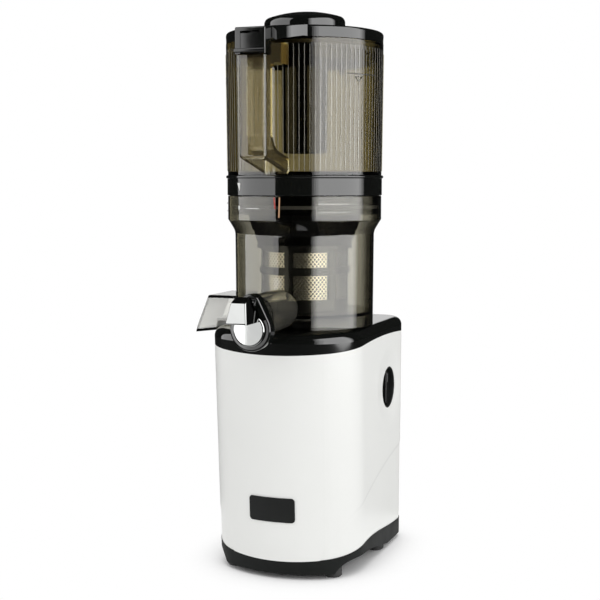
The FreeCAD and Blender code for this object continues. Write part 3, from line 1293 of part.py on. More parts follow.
def screw_socket():
    sleeve = cyl(SOCKET_R, SOCKET_FOOT_Z, SOCKET_TOP_Z)
    return sleeve.cut(hexagon(HEX_FLATS + 2 * SLIDE_GAP, SOCKET_FOOT_Z - PAST, HEX_TOP_Z + SOCKET_ROOM))


# Hopper, throat and collar

def feed_throat():
    inner = THROAT_WALL
    waist_z = THROAT_END_Z + THROAT_WAIST_LIFT
    sleeve_in = THROAT_SLEEVE_R - THROAT_SLEEVE_WALL
    under = COLLAR_TOP_Z - THROAT_FLANGE
    throat = turned([
        (THROAT_MOUTH_R, COLLAR_TOP_Z), (THROAT_WAIST_R, waist_z, THROAT_WAIST_ROUND),
        (THROAT_END_R, THROAT_END_Z), (THROAT_END_R - inner, THROAT_END_Z),
        (THROAT_WAIST_R - inner, waist_z, THROAT_WAIST_ROUND), (THROAT_BORE_R, COLLAR_TOP_Z),
    ])
    root = THROAT_MOUTH_R - THROAT_WALL / 2
    groove = THROAT_SLEEVE_R - THROAT_SEAL_DEPTH
    sleeve = turned([
        (root, under), (sleeve_in, under), (sleeve_in, THROAT_SLEEVE_Z), (THROAT_SLEEVE_R, THROAT_SLEEVE_Z),
        (THROAT_SLEEVE_R, THROAT_SEAL_Z[0]), (groove, THROAT_SEAL_Z[0]), (groove, THROAT_SEAL_Z[1]),
        (THROAT_SLEEVE_R, THROAT_SEAL_Z[1]), (THROAT_SLEEVE_R, COLLAR_TOP_Z), (root, COLLAR_TOP_Z),
    ])
    return fused(throat, sleeve)


def throat_seal():
    outer = THROAT_SLEEVE_R + THROAT_SEAL_PROUD
    return ring(outer, THROAT_SLEEVE_R - THROAT_SEAL_DEPTH, THROAT_SEAL_Z[0], THROAT_SEAL_Z[1])


def hopper_collar():
    skirt_in = COLLAR_R - COLLAR_WALL
    return turned([
        (COLLAR_R, COLLAR_FOOT_Z, COLLAR_ROUND), (COLLAR_R, COLLAR_TOP_Z),
        (FLANGE_R, COLLAR_TOP_Z, FLANGE_ROUND), (FLANGE_R, FLANGE_TOP_Z, FLANGE_ROUND),
        (THROAT_BORE_R, FLANGE_TOP_Z), (THROAT_BORE_R, COLLAR_TOP_Z), (skirt_in, COLLAR_TOP_Z),
        (skirt_in, COLLAR_FOOT_Z, COLLAR_ROUND),
    ])


def hopper_side_r(z):
    return HOPPER_FOOT_R + (z - HOPPER_FOOT_Z) / HOPPER_HEIGHT * HOPPER_FLARE


def hopper_ribs():
    """Fine upright ribs around the outside, left out behind the handle and the hinge."""
    low = HOPPER_FOOT_Z + RIB_FROM_FOOT
    high = HOPPER_RIM_Z - RIB_FROM_RIM
    foot_r = hopper_side_r(low)
    head_r = hopper_side_r(high)
    rib = prism_y([
        (foot_r - RIB_HEIGHT, low), (foot_r, low), (foot_r + RIB_HEIGHT, low + 2 * RIB_HEIGHT),
        (head_r + RIB_HEIGHT, high - 2 * RIB_HEIGHT), (head_r, high), (head_r - RIB_HEIGHT, high),
    ], -RIB_WIDTH / 2, RIB_WIDTH / 2)
    ribs = []
    for k in range(RIB_COUNT):
        deg = (k + 0.5) * 360 / RIB_COUNT
        x = HOPPER_FOOT_R * math.cos(math.radians(deg))
        if abs(x) > HINGE_EAR_OUTER_X + RIB_WIDTH:
            ribs.append(around_z(rib, deg))
    return ribs


def hopper():
    floor = HOPPER_FOOT_Z + HOPPER_FLOOR
    tub = turned([
        (THROAT_BORE_R, HOPPER_FOOT_Z), (HOPPER_FOOT_R, HOPPER_FOOT_Z),
        (HOPPER_RIM_R, HOPPER_RIM_Z, HOPPER_RIM_ROUND),
        (HOPPER_RIM_R - HOPPER_WALL, HOPPER_RIM_Z, HOPPER_RIM_ROUND),
        (hopper_side_r(floor) - HOPPER_WALL, floor), (THROAT_BORE_R, floor),
    ])
    root_y = HOPPER_RIM_R - HINGE_EAR_SUNK
    ear_top = HOPPER_RIM_Z - HINGE_EAR_TOP_GAP
    ear = prism_x([
        (root_y, HINGE_EAR_FOOT_Z), (HINGE_Y + HINGE_R, HINGE_EAR_FOOT_Z + HINGE_EAR_SLOPE),
        (HINGE_Y + HINGE_R, HINGE_Z), (HINGE_Y - HINGE_R, HINGE_Z), (HINGE_Y - HINGE_R, ear_top),
        (root_y, ear_top),
    ], HINGE_EAR_INNER_X, HINGE_EAR_OUTER_X)
    ear = fused(ear, cyl_x(HINGE_R, HINGE_EAR_INNER_X, HINGE_EAR_OUTER_X, HINGE_Y, HINGE_Z))
    half_wall = HOPPER_WALL / 2
    ear = ear.cut(cone(HOPPER_FOOT_R - half_wall, HOPPER_RIM_R - half_wall, HOPPER_FOOT_Z, HOPPER_RIM_Z))
    tub = fused(tub, ear, mirrored_x(ear), *hopper_ribs())
    return tub.cut(cyl_x(HINGE_PIN_R, -FAR, FAR, HINGE_Y, HINGE_Z))


def hinge_pin():
    half = HINGE_EAR_OUTER_X + HINGE_PIN_PROUD
    return cyl_x(HINGE_PIN_R, -half, half, HINGE_Y, HINGE_Z)


def hopper_handle():
    wall_y = HANDLE_SUNK - HOPPER_FOOT_R
    root_z = HOPPER_FOOT_Z + HANDLE_ROOT_LIFT
    slope = (HANDLE_FOOT_Z - root_z) / (HOPPER_FOOT_R + HANDLE_FACE_Y)
    far_z = HANDLE_FOOT_Z + slope * (wall_y - HANDLE_FACE_Y)
    outside = prism_x([
        (HANDLE_FACE_Y, HANDLE_FOOT_Z, HANDLE_EDGE_R), (HANDLE_FACE_Y, HANDLE_TOP_Z),
        (HANDLE_STEP_Y, HANDLE_TOP_Z), (HANDLE_STEP_Y, HANDLE_STEP_Z),
        (wall_y, HOPPER_RIM_Z - HANDLE_RIM_DROP), (wall_y, far_z),
    ], -HANDLE_HALF_WIDTH, HANDLE_HALF_WIDTH)
    outside = softened(
        outside, HANDLE_EDGE_R, lambda b: b.YMax < HANDLE_FACE_Y + NEAR and b.ZLength > HANDLE_EDGE_R,
    )
    gap_far_z = HANDLE_GAP_FOOT_Z + slope * (wall_y - HANDLE_INNER_Y)
    gap = prism_x([
        (HANDLE_INNER_Y, HANDLE_GAP_FOOT_Z, HANDLE_GAP_FOOT_R),
        (HANDLE_INNER_Y, HANDLE_GAP_TOP_Z, HANDLE_GAP_TOP_R),
        (wall_y, HANDLE_GAP_TOP_Z), (wall_y, gap_far_z),
    ], -FAR, FAR)
    w = HANDLE_WALL
    inside_half = HANDLE_HALF_WIDTH - w
    grip_in = HANDLE_INNER_Y - w
    foot_in_z = HANDLE_GAP_FOOT_Z - w
    root_in_z = foot_in_z + slope * (-HOPPER_FOOT_R - HANDLE_INNER_Y)
    hollow = prism_x([
        (HANDLE_FACE_Y + w, BOWL_RIM_Z), (HANDLE_FACE_Y + w, HANDLE_TOP_Z - w), (grip_in, HANDLE_TOP_Z - w),
        (grip_in, foot_in_z, HANDLE_GAP_FOOT_R + w), (-HOPPER_FOOT_R, root_in_z), (-HOPPER_FOOT_R, BOWL_RIM_Z),
    ], -inside_half, inside_half)
    hopper_side = cone(HOPPER_FOOT_R, HOPPER_RIM_R, HOPPER_FOOT_Z, HOPPER_RIM_Z)
    below = cyl(FLANGE_R, BOWL_RIM_Z, FLANGE_TOP_Z)
    return outside.cut(gap).cut(hollow).cut(hopper_side).cut(below)


# Lid

def tab_plan():
    """Straight block over the handle, flaring in two hollow curves into the rim."""
    half = TAB_HALF_WIDTH
    root_y = TAB_ROOT_SUNK - LID_R
    waist_y = -HOPPER_RIM_R - TAB_WAIST_OUT

    def at(x, y):
        return Vector(x, y, HANDLE_GAP_TOP_Z)

    edges = [
        Part.makeLine(at(-half, TAB_BLOCK_Y), at(-half, TAB_FACE_Y)),
        Part.makeLine(at(-half, TAB_FACE_Y), at(half, TAB_FACE_Y)),
        Part.makeLine(at(half, TAB_FACE_Y), at(half, TAB_BLOCK_Y)),
    ]
    root = TAB_ROOT_HALF_WIDTH
    waist = TAB_WAIST_HALF
    edges.append(Part.Arc(at(half, TAB_BLOCK_Y), at(waist, waist_y), at(root, root_y)).toShape())
    edges.append(Part.makeLine(at(root, root_y), at(-root, root_y)))
    edges.append(Part.Arc(at(-root, root_y), at(-waist, waist_y), at(-half, TAB_BLOCK_Y)).toShape())
    return Part.Face(Part.Wire(edges)).extrude(Vector(0, 0, KNOB_TOP_Z - HANDLE_GAP_TOP_Z))


def lid_cap():
    """Round cover with the plug that hangs into the hopper and the groove of its gasket."""
    groove = LID_PLUG_R - LID_GASKET_DEPTH
    plug_in = groove - LID_PLUG_WALL
    low = LID_FOOT_Z
    return turned([
        (0.0, LID_TOP_Z), (LID_R, LID_TOP_Z, LID_EDGE_R), (LID_R, low), (LID_R - LID_SKIRT_WALL, low),
        (LID_PLUG_R, low + SLIDE_GAP), (LID_PLUG_R, LID_GASKET_Z[1]), (groove, LID_GASKET_Z[1]),
        (groove, LID_GASKET_Z[0]), (LID_PLUG_R, LID_GASKET_Z[0]), (LID_PLUG_R - LID_PLUG_TAPER, LID_PLUG_Z),
        (plug_in - LID_PLUG_TAPER, LID_PLUG_Z), (plug_in, LID_GASKET_Z[0]), (plug_in, LID_UNDER_Z),
        (0.0, LID_UNDER_Z),
    ])


def lid_tab():
    root_y = LID_SKIRT_WALL + PAST - LID_R
    tab = prism_x([
        (TAB_FACE_Y, TAB_FOOT_Z), (TAB_FACE_Y, TAB_FACE_TOP_Z, TAB_EDGE_R), (root_y, LID_TOP_Z),
        (root_y, LID_FOOT_Z), (-LID_R, LID_FOOT_Z), (TAB_BLOCK_Y, TAB_PLATE_Z), (TAB_BLOCK_Y, TAB_FOOT_Z),
    ], -LID_R, LID_R)
    tab = tab.common(tab_plan())
    tab = softened(tab, TAB_EDGE_R, lambda b: b.YMax < TAB_FACE_Y + TAB_EDGE_R and b.XLength < NEAR)
    return tab.cut(cyl(LID_R - PAST, HANDLE_FOOT_Z, LID_FOOT_Z))


def lid():
    pocket_half = LATCH_HALF_WIDTH + SLIDE_GAP
    pocket_back = LATCH_PIN_Y + LATCH_BACK_ROOM
    pocket_top = LATCH_TOP_Z + LATCH_HEADROOM
    pocket = box(-pocket_half, pocket_half, -FAR, pocket_back, HANDLE_FOOT_Z, pocket_top)
    half = HINGE_EAR_INNER_X - SLIDE_GAP
    root_y = LID_R - HINGE_PIN_PROUD
    knuckle = fused(
        cyl_x(HINGE_R, -half, half, HINGE_Y, HINGE_Z),
        box(-half, half, root_y, HINGE_Y, LID_FOOT_Z, HINGE_Z + HINGE_R),
    )
    whole = fused(lid_cap(), lid_tab(), knuckle).cut(pocket)
    whole = whole.cut(cyl_x(HINGE_PIN_R + RUN_GAP, -FAR, FAR, HINGE_Y, HINGE_Z))
    whole = whole.cut(latch_pin())
    return whole.cut(cyl(KNOB_SCREW_R + KNOB_SCREW_PLAY, LID_UNDER_Z - PAST, LID_TOP_Z + PAST))


def lid_gasket():
    inner = LID_PLUG_R - LID_GASKET_DEPTH
    return ring(LID_PLUG_R + LID_GASKET_PROUD, inner, LID_GASKET_Z[0], LID_GASKET_Z[1])


def latch_pin():
    half = TAB_HALF_WIDTH - LATCH_PIN_COVER
    return cyl_x(LATCH_PIN_R, -half, half, LATCH_PIN_Y, LATCH_PIN_Z)


def lid_latch():
    half = LATCH_HALF_WIDTH
    back = LATCH_FACE_Y + LATCH_THICK
    plate = box(-half, half, LATCH_FACE_Y, back, LATCH_FOOT_Z, LATCH_TOP_Z)
    lip_top = LATCH_FOOT_Z + LATCH_LIP_HEIGHT
    lip_front = LATCH_FACE_Y - LATCH_LIP
    lip_back = TAB_FACE_Y - SLIDE_GAP
    lip_half = TAB_HALF_WIDTH - LATCH_SUNK
    lip = prism_x([
        (lip_front, LATCH_FOOT_Z, LATCH_LIP_ROUND), (lip_front, lip_top, LATCH_LIP_ROUND),
        (lip_back, lip_top), (lip_back, LATCH_FOOT_Z),
    ], -lip_half, lip_half)
    root = box(-half, half, lip_back - LATCH_SUNK, back, LATCH_FOOT_Z, lip_top)
    hub = cyl_x(LATCH_HUB_R, -half, half, LATCH_PIN_Y, LATCH_PIN_Z)
    web = box(
        -half, half, LATCH_FACE_Y + LATCH_THICK / 2, LATCH_PIN_Y,
        LATCH_PIN_Z - LATCH_HUB_R, LATCH_PIN_Z + LATCH_HUB_R,
    )
    latch = fused(plate, lip, root, hub, web)
    return latch.cut(cyl_x(LATCH_PIN_R + RUN_GAP, -FAR, FAR, LATCH_PIN_Y, LATCH_PIN_Z))


def lid_knob():
    drum = cyl(KNOB_R, LID_TOP_Z, KNOB_TOP_Z)
    knob = drum.common(Part.makeSphere(KNOB_CROWN_R, Vector(0, KNOB_CROWN_BACK, KNOB_TOP_Z - KNOB_CROWN_R)))
    knob = softened(knob, KNOB_SHOULDER_R, lambda b: b.XLength > KNOB_R and b.ZMin > LID_TOP_Z + NEAR)
    knob = softened(knob, KNOB_FOOT_R, lambda b: b.ZMax < LID_TOP_Z + NEAR)
    return knob.cut(cyl(KNOB_SCREW_R, LID_TOP_Z - PAST, LID_TOP_Z + KNOB_SCREW_REACH + PAST))


def lid_plunger():
    """Drafted tube, closed at the top by the web that the knob's screw clamps to the lid."""
    foot_in = PLUNGER_R - PLUNGER_WALL
    top_r = PLUNGER_R + PLUNGER_DRAFT
    hole_r = KNOB_SCREW_R + KNOB_SCREW_PLAY
    return turned([
        (hole_r, PLUNGER_WEB_Z), (foot_in, PLUNGER_WEB_Z), (foot_in, PLUNGER_FOOT_Z),
        (PLUNGER_R, PLUNGER_FOOT_Z, PLUNGER_EDGE_R), (top_r, LID_UNDER_Z), (hole_r, LID_UNDER_Z),
    ])


def knob_screw():
    head_low = PLUNGER_WEB_Z - KNOB_SCREW_HEAD
    head = cyl(KNOB_SCREW_HEAD_R, head_low, PLUNGER_WEB_Z)
    shank = cyl(KNOB_SCREW_R, PLUNGER_WEB_Z - PAST, LID_TOP_Z + KNOB_SCREW_REACH)
    slot = block(KNOB_SCREW_CROSS, 0.0, 0.0, head_low - PAST / 2)
    return fused(head, shank).cut(fused(slot, around_z(slot, 90)))


def pieces():
    skin = base_skin()
    return {
        "main_housing": main_housing(skin),
        "top_cover": top_cover(skin),
        "bottom_cover": bottom_cover(skin),
        "rubber_feet": rubber_feet(),
        "nameplate": nameplate(),
        "switch_cup": switch_cup(),
        "switch_dial": switch_dial(),
        "switch_body": switch_body(),
        "motor": motor(),
        "motor_shaft": motor_shaft(),
        "reduction_gear": reduction_gear(),
        "countershaft": countershaft(),
        "countershaft_bushes": countershaft_bushes(),
        "output_gear": output_gear(),
        "drive_shaft": drive_shaft(),
        "gearbox_housing": gearbox_housing(),
        "gearbox_cover": gearbox_cover(),
        "gearbox_screws": gearbox_screws(),
        "drive_bearings": drive_bearings(),
        "shaft_seal": shaft_seal(),
        "control_board": control_board(),
        "cord_gland": cord_gland(),
        "juicing_bowl": juicing_bowl(),
        "bowl_seal": bowl_seal(),
        "spout_head": spout_head(),
        "cap_pin": cap_pin(),
        "cap_lever": cap_lever(),
        "cap_seal": cap_seal(),
        "pulp_chute": pulp_chute(),
        "pulp_gasket": pulp_gasket(),
        "strainer_frame": strainer_frame(),
        "strainer_mesh": strainer_mesh(),
        "juicing_screw": juicing_screw(),
        "screw_socket": screw_socket(),
        "feed_throat": feed_throat(),
        "throat_seal": throat_seal(),
        "hopper_collar": hopper_collar(),
        "hopper": hopper(),
        "hinge_pin": hinge_pin(),
        "hopper_handle": hopper_handle(),
        "lid": lid(),
        "lid_gasket": lid_gasket(),
        "latch_pin": latch_pin(),
        "lid_latch": lid_latch(),
        "lid_plunger": lid_plunger(),
        "lid_knob": lid_knob(),
        "knob_screw": knob_screw(),
    }


def main():
    os.makedirs("parts", exist_ok=True)
    to_origin = Vector(
        (REACH_LEFT - TOP_HALF_WIDTH) / 2,
        (REACH_FRONT - REACH_REAR) / 2,
        0,
    )
    for name, shape in pieces().items():
        shape.translate(to_origin)
        shape.exportStep("parts/" + name + ".step")


main()
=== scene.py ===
"""Finishes, printed marks, light and camera for the upright slow juicer."""
import logging
import math
from abc import ABC, abstractmethod
from dataclasses import dataclass, field
from enum import Enum
from typing import Any, Callable, ClassVar, Iterable, Sequence, Union

import bmesh
import bpy
from mathutils import Euler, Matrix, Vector


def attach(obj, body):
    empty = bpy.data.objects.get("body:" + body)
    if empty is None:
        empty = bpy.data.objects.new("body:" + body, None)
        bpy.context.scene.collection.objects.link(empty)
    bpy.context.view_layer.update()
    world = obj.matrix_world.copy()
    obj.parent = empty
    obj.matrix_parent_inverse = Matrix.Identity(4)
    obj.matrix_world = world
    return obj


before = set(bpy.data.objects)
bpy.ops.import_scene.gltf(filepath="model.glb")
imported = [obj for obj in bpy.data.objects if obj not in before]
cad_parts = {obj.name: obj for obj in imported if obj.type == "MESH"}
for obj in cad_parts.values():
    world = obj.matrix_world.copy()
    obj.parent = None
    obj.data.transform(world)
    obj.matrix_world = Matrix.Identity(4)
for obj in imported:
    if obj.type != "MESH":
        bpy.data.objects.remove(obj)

LOG = logging.getLogger("juicer")
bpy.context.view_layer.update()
MM = 0.001
# Drive axis of the machine, which stands upright
AXIS_X = 14.35 * MM
AXIS_Y = 26.0 * MM
WHITE = (1.0, 1.0, 1.0)
NOISE_MEAN = 0.5
OCCLUSION_SAMPLES = 16
# Power of an area lamp per square metre for one unit of radiance
LAMP_POWER = 4.0

Colour = tuple[float, float, float]
Triple = tuple[float, float, float]
Span = tuple[float, float]
WallPoint = tuple[float, float]
Operand = Union["Signal", float]


class Signal:
    """Output socket of a node that can stand in Python arithmetic."""

    def __init__(self, graph: "Graph", socket: bpy.types.NodeSocket) -> None:
        """Keep the socket and the graph that new nodes go into."""
        self.graph = graph
        self.socket = socket

    def _math(self, operation: str, *others: Operand, swapped: bool = False) -> "Signal":
        """Add one Math node.

        Args:
            operation: Blender's name of the operation.
            others: Further operands, numbers or signals.
            swapped: Whether this signal is the second operand.

        Returns:
            The result as a signal.
        """
        operands = [self, *others]
        if swapped:
            operands.reverse()
        return self.graph.signal("ShaderNodeMath", {"operation": operation}, dict(enumerate(operands)))

    def __add__(self, other: Operand) -> "Signal":
        """Sum."""
        return self._math("ADD", other)

    __radd__ = __add__

    def __sub__(self, other: Operand) -> "Signal":
        """Difference."""
        return self._math("SUBTRACT", other)

    def __rsub__(self, other: Operand) -> "Signal":
        """Difference with this signal taken away."""
        return self._math("SUBTRACT", other, swapped=True)

    def __mul__(self, other: Operand) -> "Signal":
        """Product."""
        return self._math("MULTIPLY", other)

    __rmul__ = __mul__

    def __truediv__(self, other: Operand) -> "Signal":
        """Quotient."""
        return self._math("DIVIDE", other)

    def __rtruediv__(self, other: Operand) -> "Signal":
        """Quotient with this signal below the line."""
        return self._math("DIVIDE", other, swapped=True)

    def lesser(self, other: Operand) -> "Signal":
        """Smaller of the two."""
        return self._math("MINIMUM", other)

    def greater(self, other: Operand) -> "Signal":
        """Larger of the two."""
        return self._math("MAXIMUM", other)

    def fraction(self) -> "Signal":
        """Part behind the point."""
        return self._math("FRACT")

    def floor(self) -> "Signal":
        """Whole part."""
        return self._math("FLOOR")

    def size(self) -> "Signal":
        """Absolute value."""
        return self._math("ABSOLUTE")

    def bearing(self, other: Operand) -> "Signal":
        """Angle of the point with this signal as Y and the other as X."""
        return self._math("ARCTAN2", other)

    def length(self, other: "Signal") -> "Signal":
        """Length of the vector with this signal and the other as its parts."""
        return (self * self + other * other)._math("SQRT")

    def step(self, start: float, end: float) -> "Signal":
        """Smooth ramp up.

        Args:
            start: Value at which the ramp is 0.
            end: Value at which the ramp is 1.

        Returns:
            A signal from 0 to 1.
        """
        return self.graph.signal(
            "ShaderNodeMapRange",
            {"interpolation_type": "SMOOTHSTEP"},
            {"Value": self, "From Min": start, "From Max": end},
        )

    def fade(self, start: float, end: float) -> "Signal":
        """Smooth ramp down, 1 at the start and 0 at the end."""
        return 1.0 - self.step(start, end)


@dataclass(frozen=True)
class Speckle:
    """Noise pattern: cells per metre, number of finer layers and strength of those."""

    scale: float
    detail: float = 3.0
    rough: float = 0.5


@dataclass(frozen=True)
class Relief:
    """Height of a texture: metres from its low to its high and the share of its effect."""

    depth: float
    strength: float


class Ray(Enum):
    """Kind of ray that meets a surface, by the name of its output."""

    CAMERA = "Is Camera Ray"
    SHADOW = "Is Shadow Ray"
    GLOSSY = "Is Glossy Ray"
    TRANSMISSION = "Is Transmission Ray"


class Graph:
    """Node tree under construction."""

    # Sockets of the Mix node when it mixes colours
    MIX_SHARE = 0
    MIX_LOW = 6
    MIX_HIGH = 7
    MIX_RESULT = 2

    def __init__(self, tree: bpy.types.NodeTree) -> None:
        """Empty the tree and keep it."""
        self.tree = tree
        tree.nodes.clear()

    def node(
        self, kind: str, settings: dict[str, Any] | None = None, inputs: dict[Any, Any] | None = None,
    ) -> bpy.types.Node:
        """Add a node.

        Args:
            kind: Blender's type name.
            settings: Attributes, set first.
            inputs: Values or signals by input name or index.

        Returns:
            The node.
        """
        node = self.tree.nodes.new(kind)
        for key, value in (settings or {}).items():
            setattr(node, key, value)
        for key, value in (inputs or {}).items():
            self.feed(node.inputs[key], value)
        return node

    def signal(
        self,
        kind: str,
        settings: dict[str, Any] | None = None,
        inputs: dict[Any, Any] | None = None,
        output: int | str = 0,
    ) -> Signal:
        """Add a node and take one of its outputs.

        Args:
            kind: Blender's type name.
            settings: Attributes, set first.
            inputs: Values or signals by input name or index.
            output: Name or index of the output.

        Returns:
            The output.
        """
        return Signal(self, self.node(kind, settings, inputs).outputs[output])

    def feed(self, socket: bpy.types.NodeSocket, value: Any) -> None:
        """Link a signal into an input, or set the input's own value.

        Args:
            socket: The input.
            value: A signal, a number, a vector or a colour.
        """
        if isinstance(value, Signal):
            self.tree.links.new(value.socket, socket)
        elif socket.type == "RGBA":
            socket.default_value = (*value, 1.0)
        else:
            socket.default_value = value

    def place(self) -> Signal:
        """Position on the piece in metres, in the piece's own frame."""
        return self.signal("ShaderNodeTexCoord", output="Object")

    def parts_of(self, vector: Signal) -> tuple[Signal, Signal, Signal]:
        """Split a vector into its three parts."""
        node = self.node("ShaderNodeSeparateXYZ", inputs={"Vector": vector})
        return tuple(Signal(self, socket) for socket in node.outputs)

    def from_axis(self, place: Signal) -> tuple[Signal, Signal, Signal]:
        """Position to the right of the drive axis, behind it and above the table."""
        x, y, z = self.parts_of(place)
        return x - AXIS_X, y - AXIS_Y, z

    def stretched(self, vector: Signal, scale: Triple) -> Signal:
        """Scale a vector by its own amount along each axis."""
        return self.signal("ShaderNodeVectorMath", {"operation": "MULTIPLY"}, {0: vector, 1: scale})

    def noise(self, vector: Signal, pattern: Speckle) -> Signal:
        """Smooth noise.

        Args:
            vector: Where the noise is read.
            pattern: Its cells and layers.

        Returns:
            The noise, from 0 to 1.
        """
        return self.signal("ShaderNodeTexNoise", inputs={
            "Vector": vector,
            "Scale": pattern.scale,
            "Detail": pattern.detail,
            "Roughness": pattern.rough,
        })

    def blend(self, share: Operand, low: Signal | Colour, high: Signal | Colour) -> Signal:
        """Mix two colours.

        Args:
            share: 0 for the first colour, 1 for the second.
            low: First colour.
            high: Second colour.

        Returns:
            The mixed colour.
        """
        inputs = {self.MIX_SHARE: share, self.MIX_LOW: low, self.MIX_HIGH: high}
        return self.signal("ShaderNodeMix", {"data_type": "RGBA"}, inputs, self.MIX_RESULT)

    def bump(self, height: Signal, relief: Relief) -> Signal:
        """Normal of a surface raised by a height.

        Args:
            height: Form of the texture, from 0 to 1.
            relief: Its depth and strength.

        Returns:
            The bent normal.
        """
        inputs = {"Strength": relief.strength, "Distance": relief.depth, "Height": height}
        return self.signal("ShaderNodeBump", inputs=inputs)

    def openness(self, reach: float) -> Signal:
        """Share of the sky over a point that nothing nearer than a distance covers."""
        settings = {"samples": OCCLUSION_SAMPLES}
        return self.signal("ShaderNodeAmbientOcclusion", settings, {"Distance": reach}, "AO")

    def ray(self, kind: Ray) -> Signal:
        """Mask that is 1 for one kind of ray."""
        return self.signal("ShaderNodeLightPath", output=kind.value)

    def shown(self) -> Signal:
        """Mask that is 1 for what the picture shows, plain, in gloss or through clear plastic."""
        return self.ray(Ray.CAMERA).greater(self.ray(Ray.GLOSSY)).greater(self.ray(Ray.TRANSMISSION))

    def mixed(self, share: Operand, low: Signal, high: Signal) -> Signal:
        """Mix two shaders.

        Args:
            share: 0 for the first shader, 1 for the second.
            low: First shader.
            high: Second shader.

        Returns:
            The mixed shader.
        """
        return self.signal("ShaderNodeMixShader", inputs={0: share, 1: low, 2: high})

    def diffuse(self, colour: Colour) -> Signal:
        """Dull shader of one colour."""
        return self.signal("ShaderNodeBsdfDiffuse", inputs={"Color": colour})

    def surface(self, **inputs: Any) -> Signal:
        """Principled surface with its sockets named by keyword, spaces as underscores."""
        named = {key.replace("_", " "): value for key, value in inputs.items()}
        return self.signal("ShaderNodeBsdfPrincipled", inputs=named)


def scaled(colour: Colour, factor: float) -> Colour:
    """Colour made darker or lighter, at most white."""
    return tuple(min(1.0, channel * factor) for channel in colour)


@dataclass(frozen=True)
class Finish(ABC):
    """Finish of a piece, which becomes one material."""

    name: str

    @abstractmethod
    def shader(self, graph: Graph, place: Signal) -> Signal:
        """Draw the surface.

        Args:
            graph: Graph of the material.
            place: Position on the piece.

        Returns:
            The shader.
        """

    def inside(self, graph: Graph) -> Signal | None:
        """Shader of the inside, for what can be seen through."""
        return None

    def build(self) -> bpy.types.Material:
        """Make the material.

        Returns:
            The material.
        """
        material = bpy.data.materials.new(self.name)
        material.use_nodes = True
        graph = Graph(material.node_tree)
        ends = {"Surface": self.shader(graph, graph.place())}
        inside = self.inside(graph)
        if inside is not None:
            ends["Volume"] = inside
        graph.node("ShaderNodeOutputMaterial", inputs=ends)
        return material


class Grain(Enum):
    """Texture that a mould leaves on plastic: its pattern and its relief."""

    POLISHED = (Speckle(90.0, 1.0, 0.3), Relief(0.05 * MM, 0.1))
    SPARKED = (Speckle(1500.0, 2.0), Relief(0.06 * MM, 0.5))
    PEEL = (Speckle(260.0, 2.0, 0.4), Relief(0.05 * MM, 0.18))


@dataclass(frozen=True)
class MouldedPlastic(Finish):
    """Opaque moulded plastic: faint flow clouds, handling haze and the mould's own grain."""

    colour: Colour
    roughness: float
    grain: Grain
    coat: float = 0.0
    coat_roughness: float = 0.02
    cloud: float = 0.06
    haze: float = 0.05
    index: float = 1.5
    # Darkness of the painted shade, as a factor on the darker cloud colour
    painted_shade_tone: float = 0.93
    flow: Speckle = Speckle(22.0, 4.0, 0.55)
    specks: Speckle = Speckle(900.0, 2.0, 0.6)
    speck_share: float = 0.3
    speck_haze: float = 0.5
    touch: Speckle = Speckle(38.0, 3.0, 0.6)
    touch_span: Span = (0.35, 0.75)

    def painted_shade(self, graph: Graph, place: Signal) -> Operand:
        """Share of a painted soft shade on the surface."""
        return 0.0

    def shader(self, graph: Graph, place: Signal) -> Signal:
        """Draw the surface.

        Args:
            graph: Graph of the material.
            place: Position on the piece.

        Returns:
            The shader.
        """
        specks = graph.noise(place, self.specks)
        clouds = graph.noise(place, self.flow) * (1.0 - self.speck_share) + specks * self.speck_share
        dark = scaled(self.colour, 1.0 - self.cloud)
        plain = graph.blend(clouds, dark, scaled(self.colour, 1.0 + self.cloud))
        touched = graph.noise(place, self.touch).step(*self.touch_span)
        uneven = (specks - NOISE_MEAN) * (self.haze * self.speck_haze)
        pattern, relief = self.grain.value
        return graph.surface(
            # Painted shade: the colour darkens where painted_shade gives a share
            Base_Color=graph.blend(self.painted_shade(graph, place), plain, scaled(dark, self.painted_shade_tone)),
            Roughness=self.roughness + touched * self.haze + uneven,
            IOR=self.index,
            Coat_Weight=self.coat,
            Coat_Roughness=self.coat_roughness,
            Normal=graph.bump(graph.noise(place, pattern), relief),
        )


@dataclass(frozen=True)
class CreasedPlastic(MouldedPlastic):
    """Plastic of the shell, with a painted shade under the crease along its sides.

    The crease's height is a parabola of the place along the machine: level, slope and bend.
    """

    level: float = 67.08 * MM
    slope: float = 0.3903
    bend: float = -1.172
    crease_edge: Span = (-0.3 * MM, 0.0)
    crease_fade: Span = (1.6 * MM, 4.5 * MM)
    rearward: Span = (-30.0 * MM, 8.0 * MM)

    def painted_shade(self, graph: Graph, place: Signal) -> Signal:
        """Share of the painted shade, which fades downwards and towards the front.

        Args:
            graph: Graph of the material.
            place: Position on the piece.

        Returns:
            The share, from 0 to 1.
        """
        _, y, z = graph.parts_of(place)
        # Painted shade below the crease ledge, standing in for the shadow under it
        below = (self.level + y * self.slope + y * y * self.bend) - z
        return below.step(*self.crease_edge) * below.fade(*self.crease_fade) * y.step(*self.rearward)


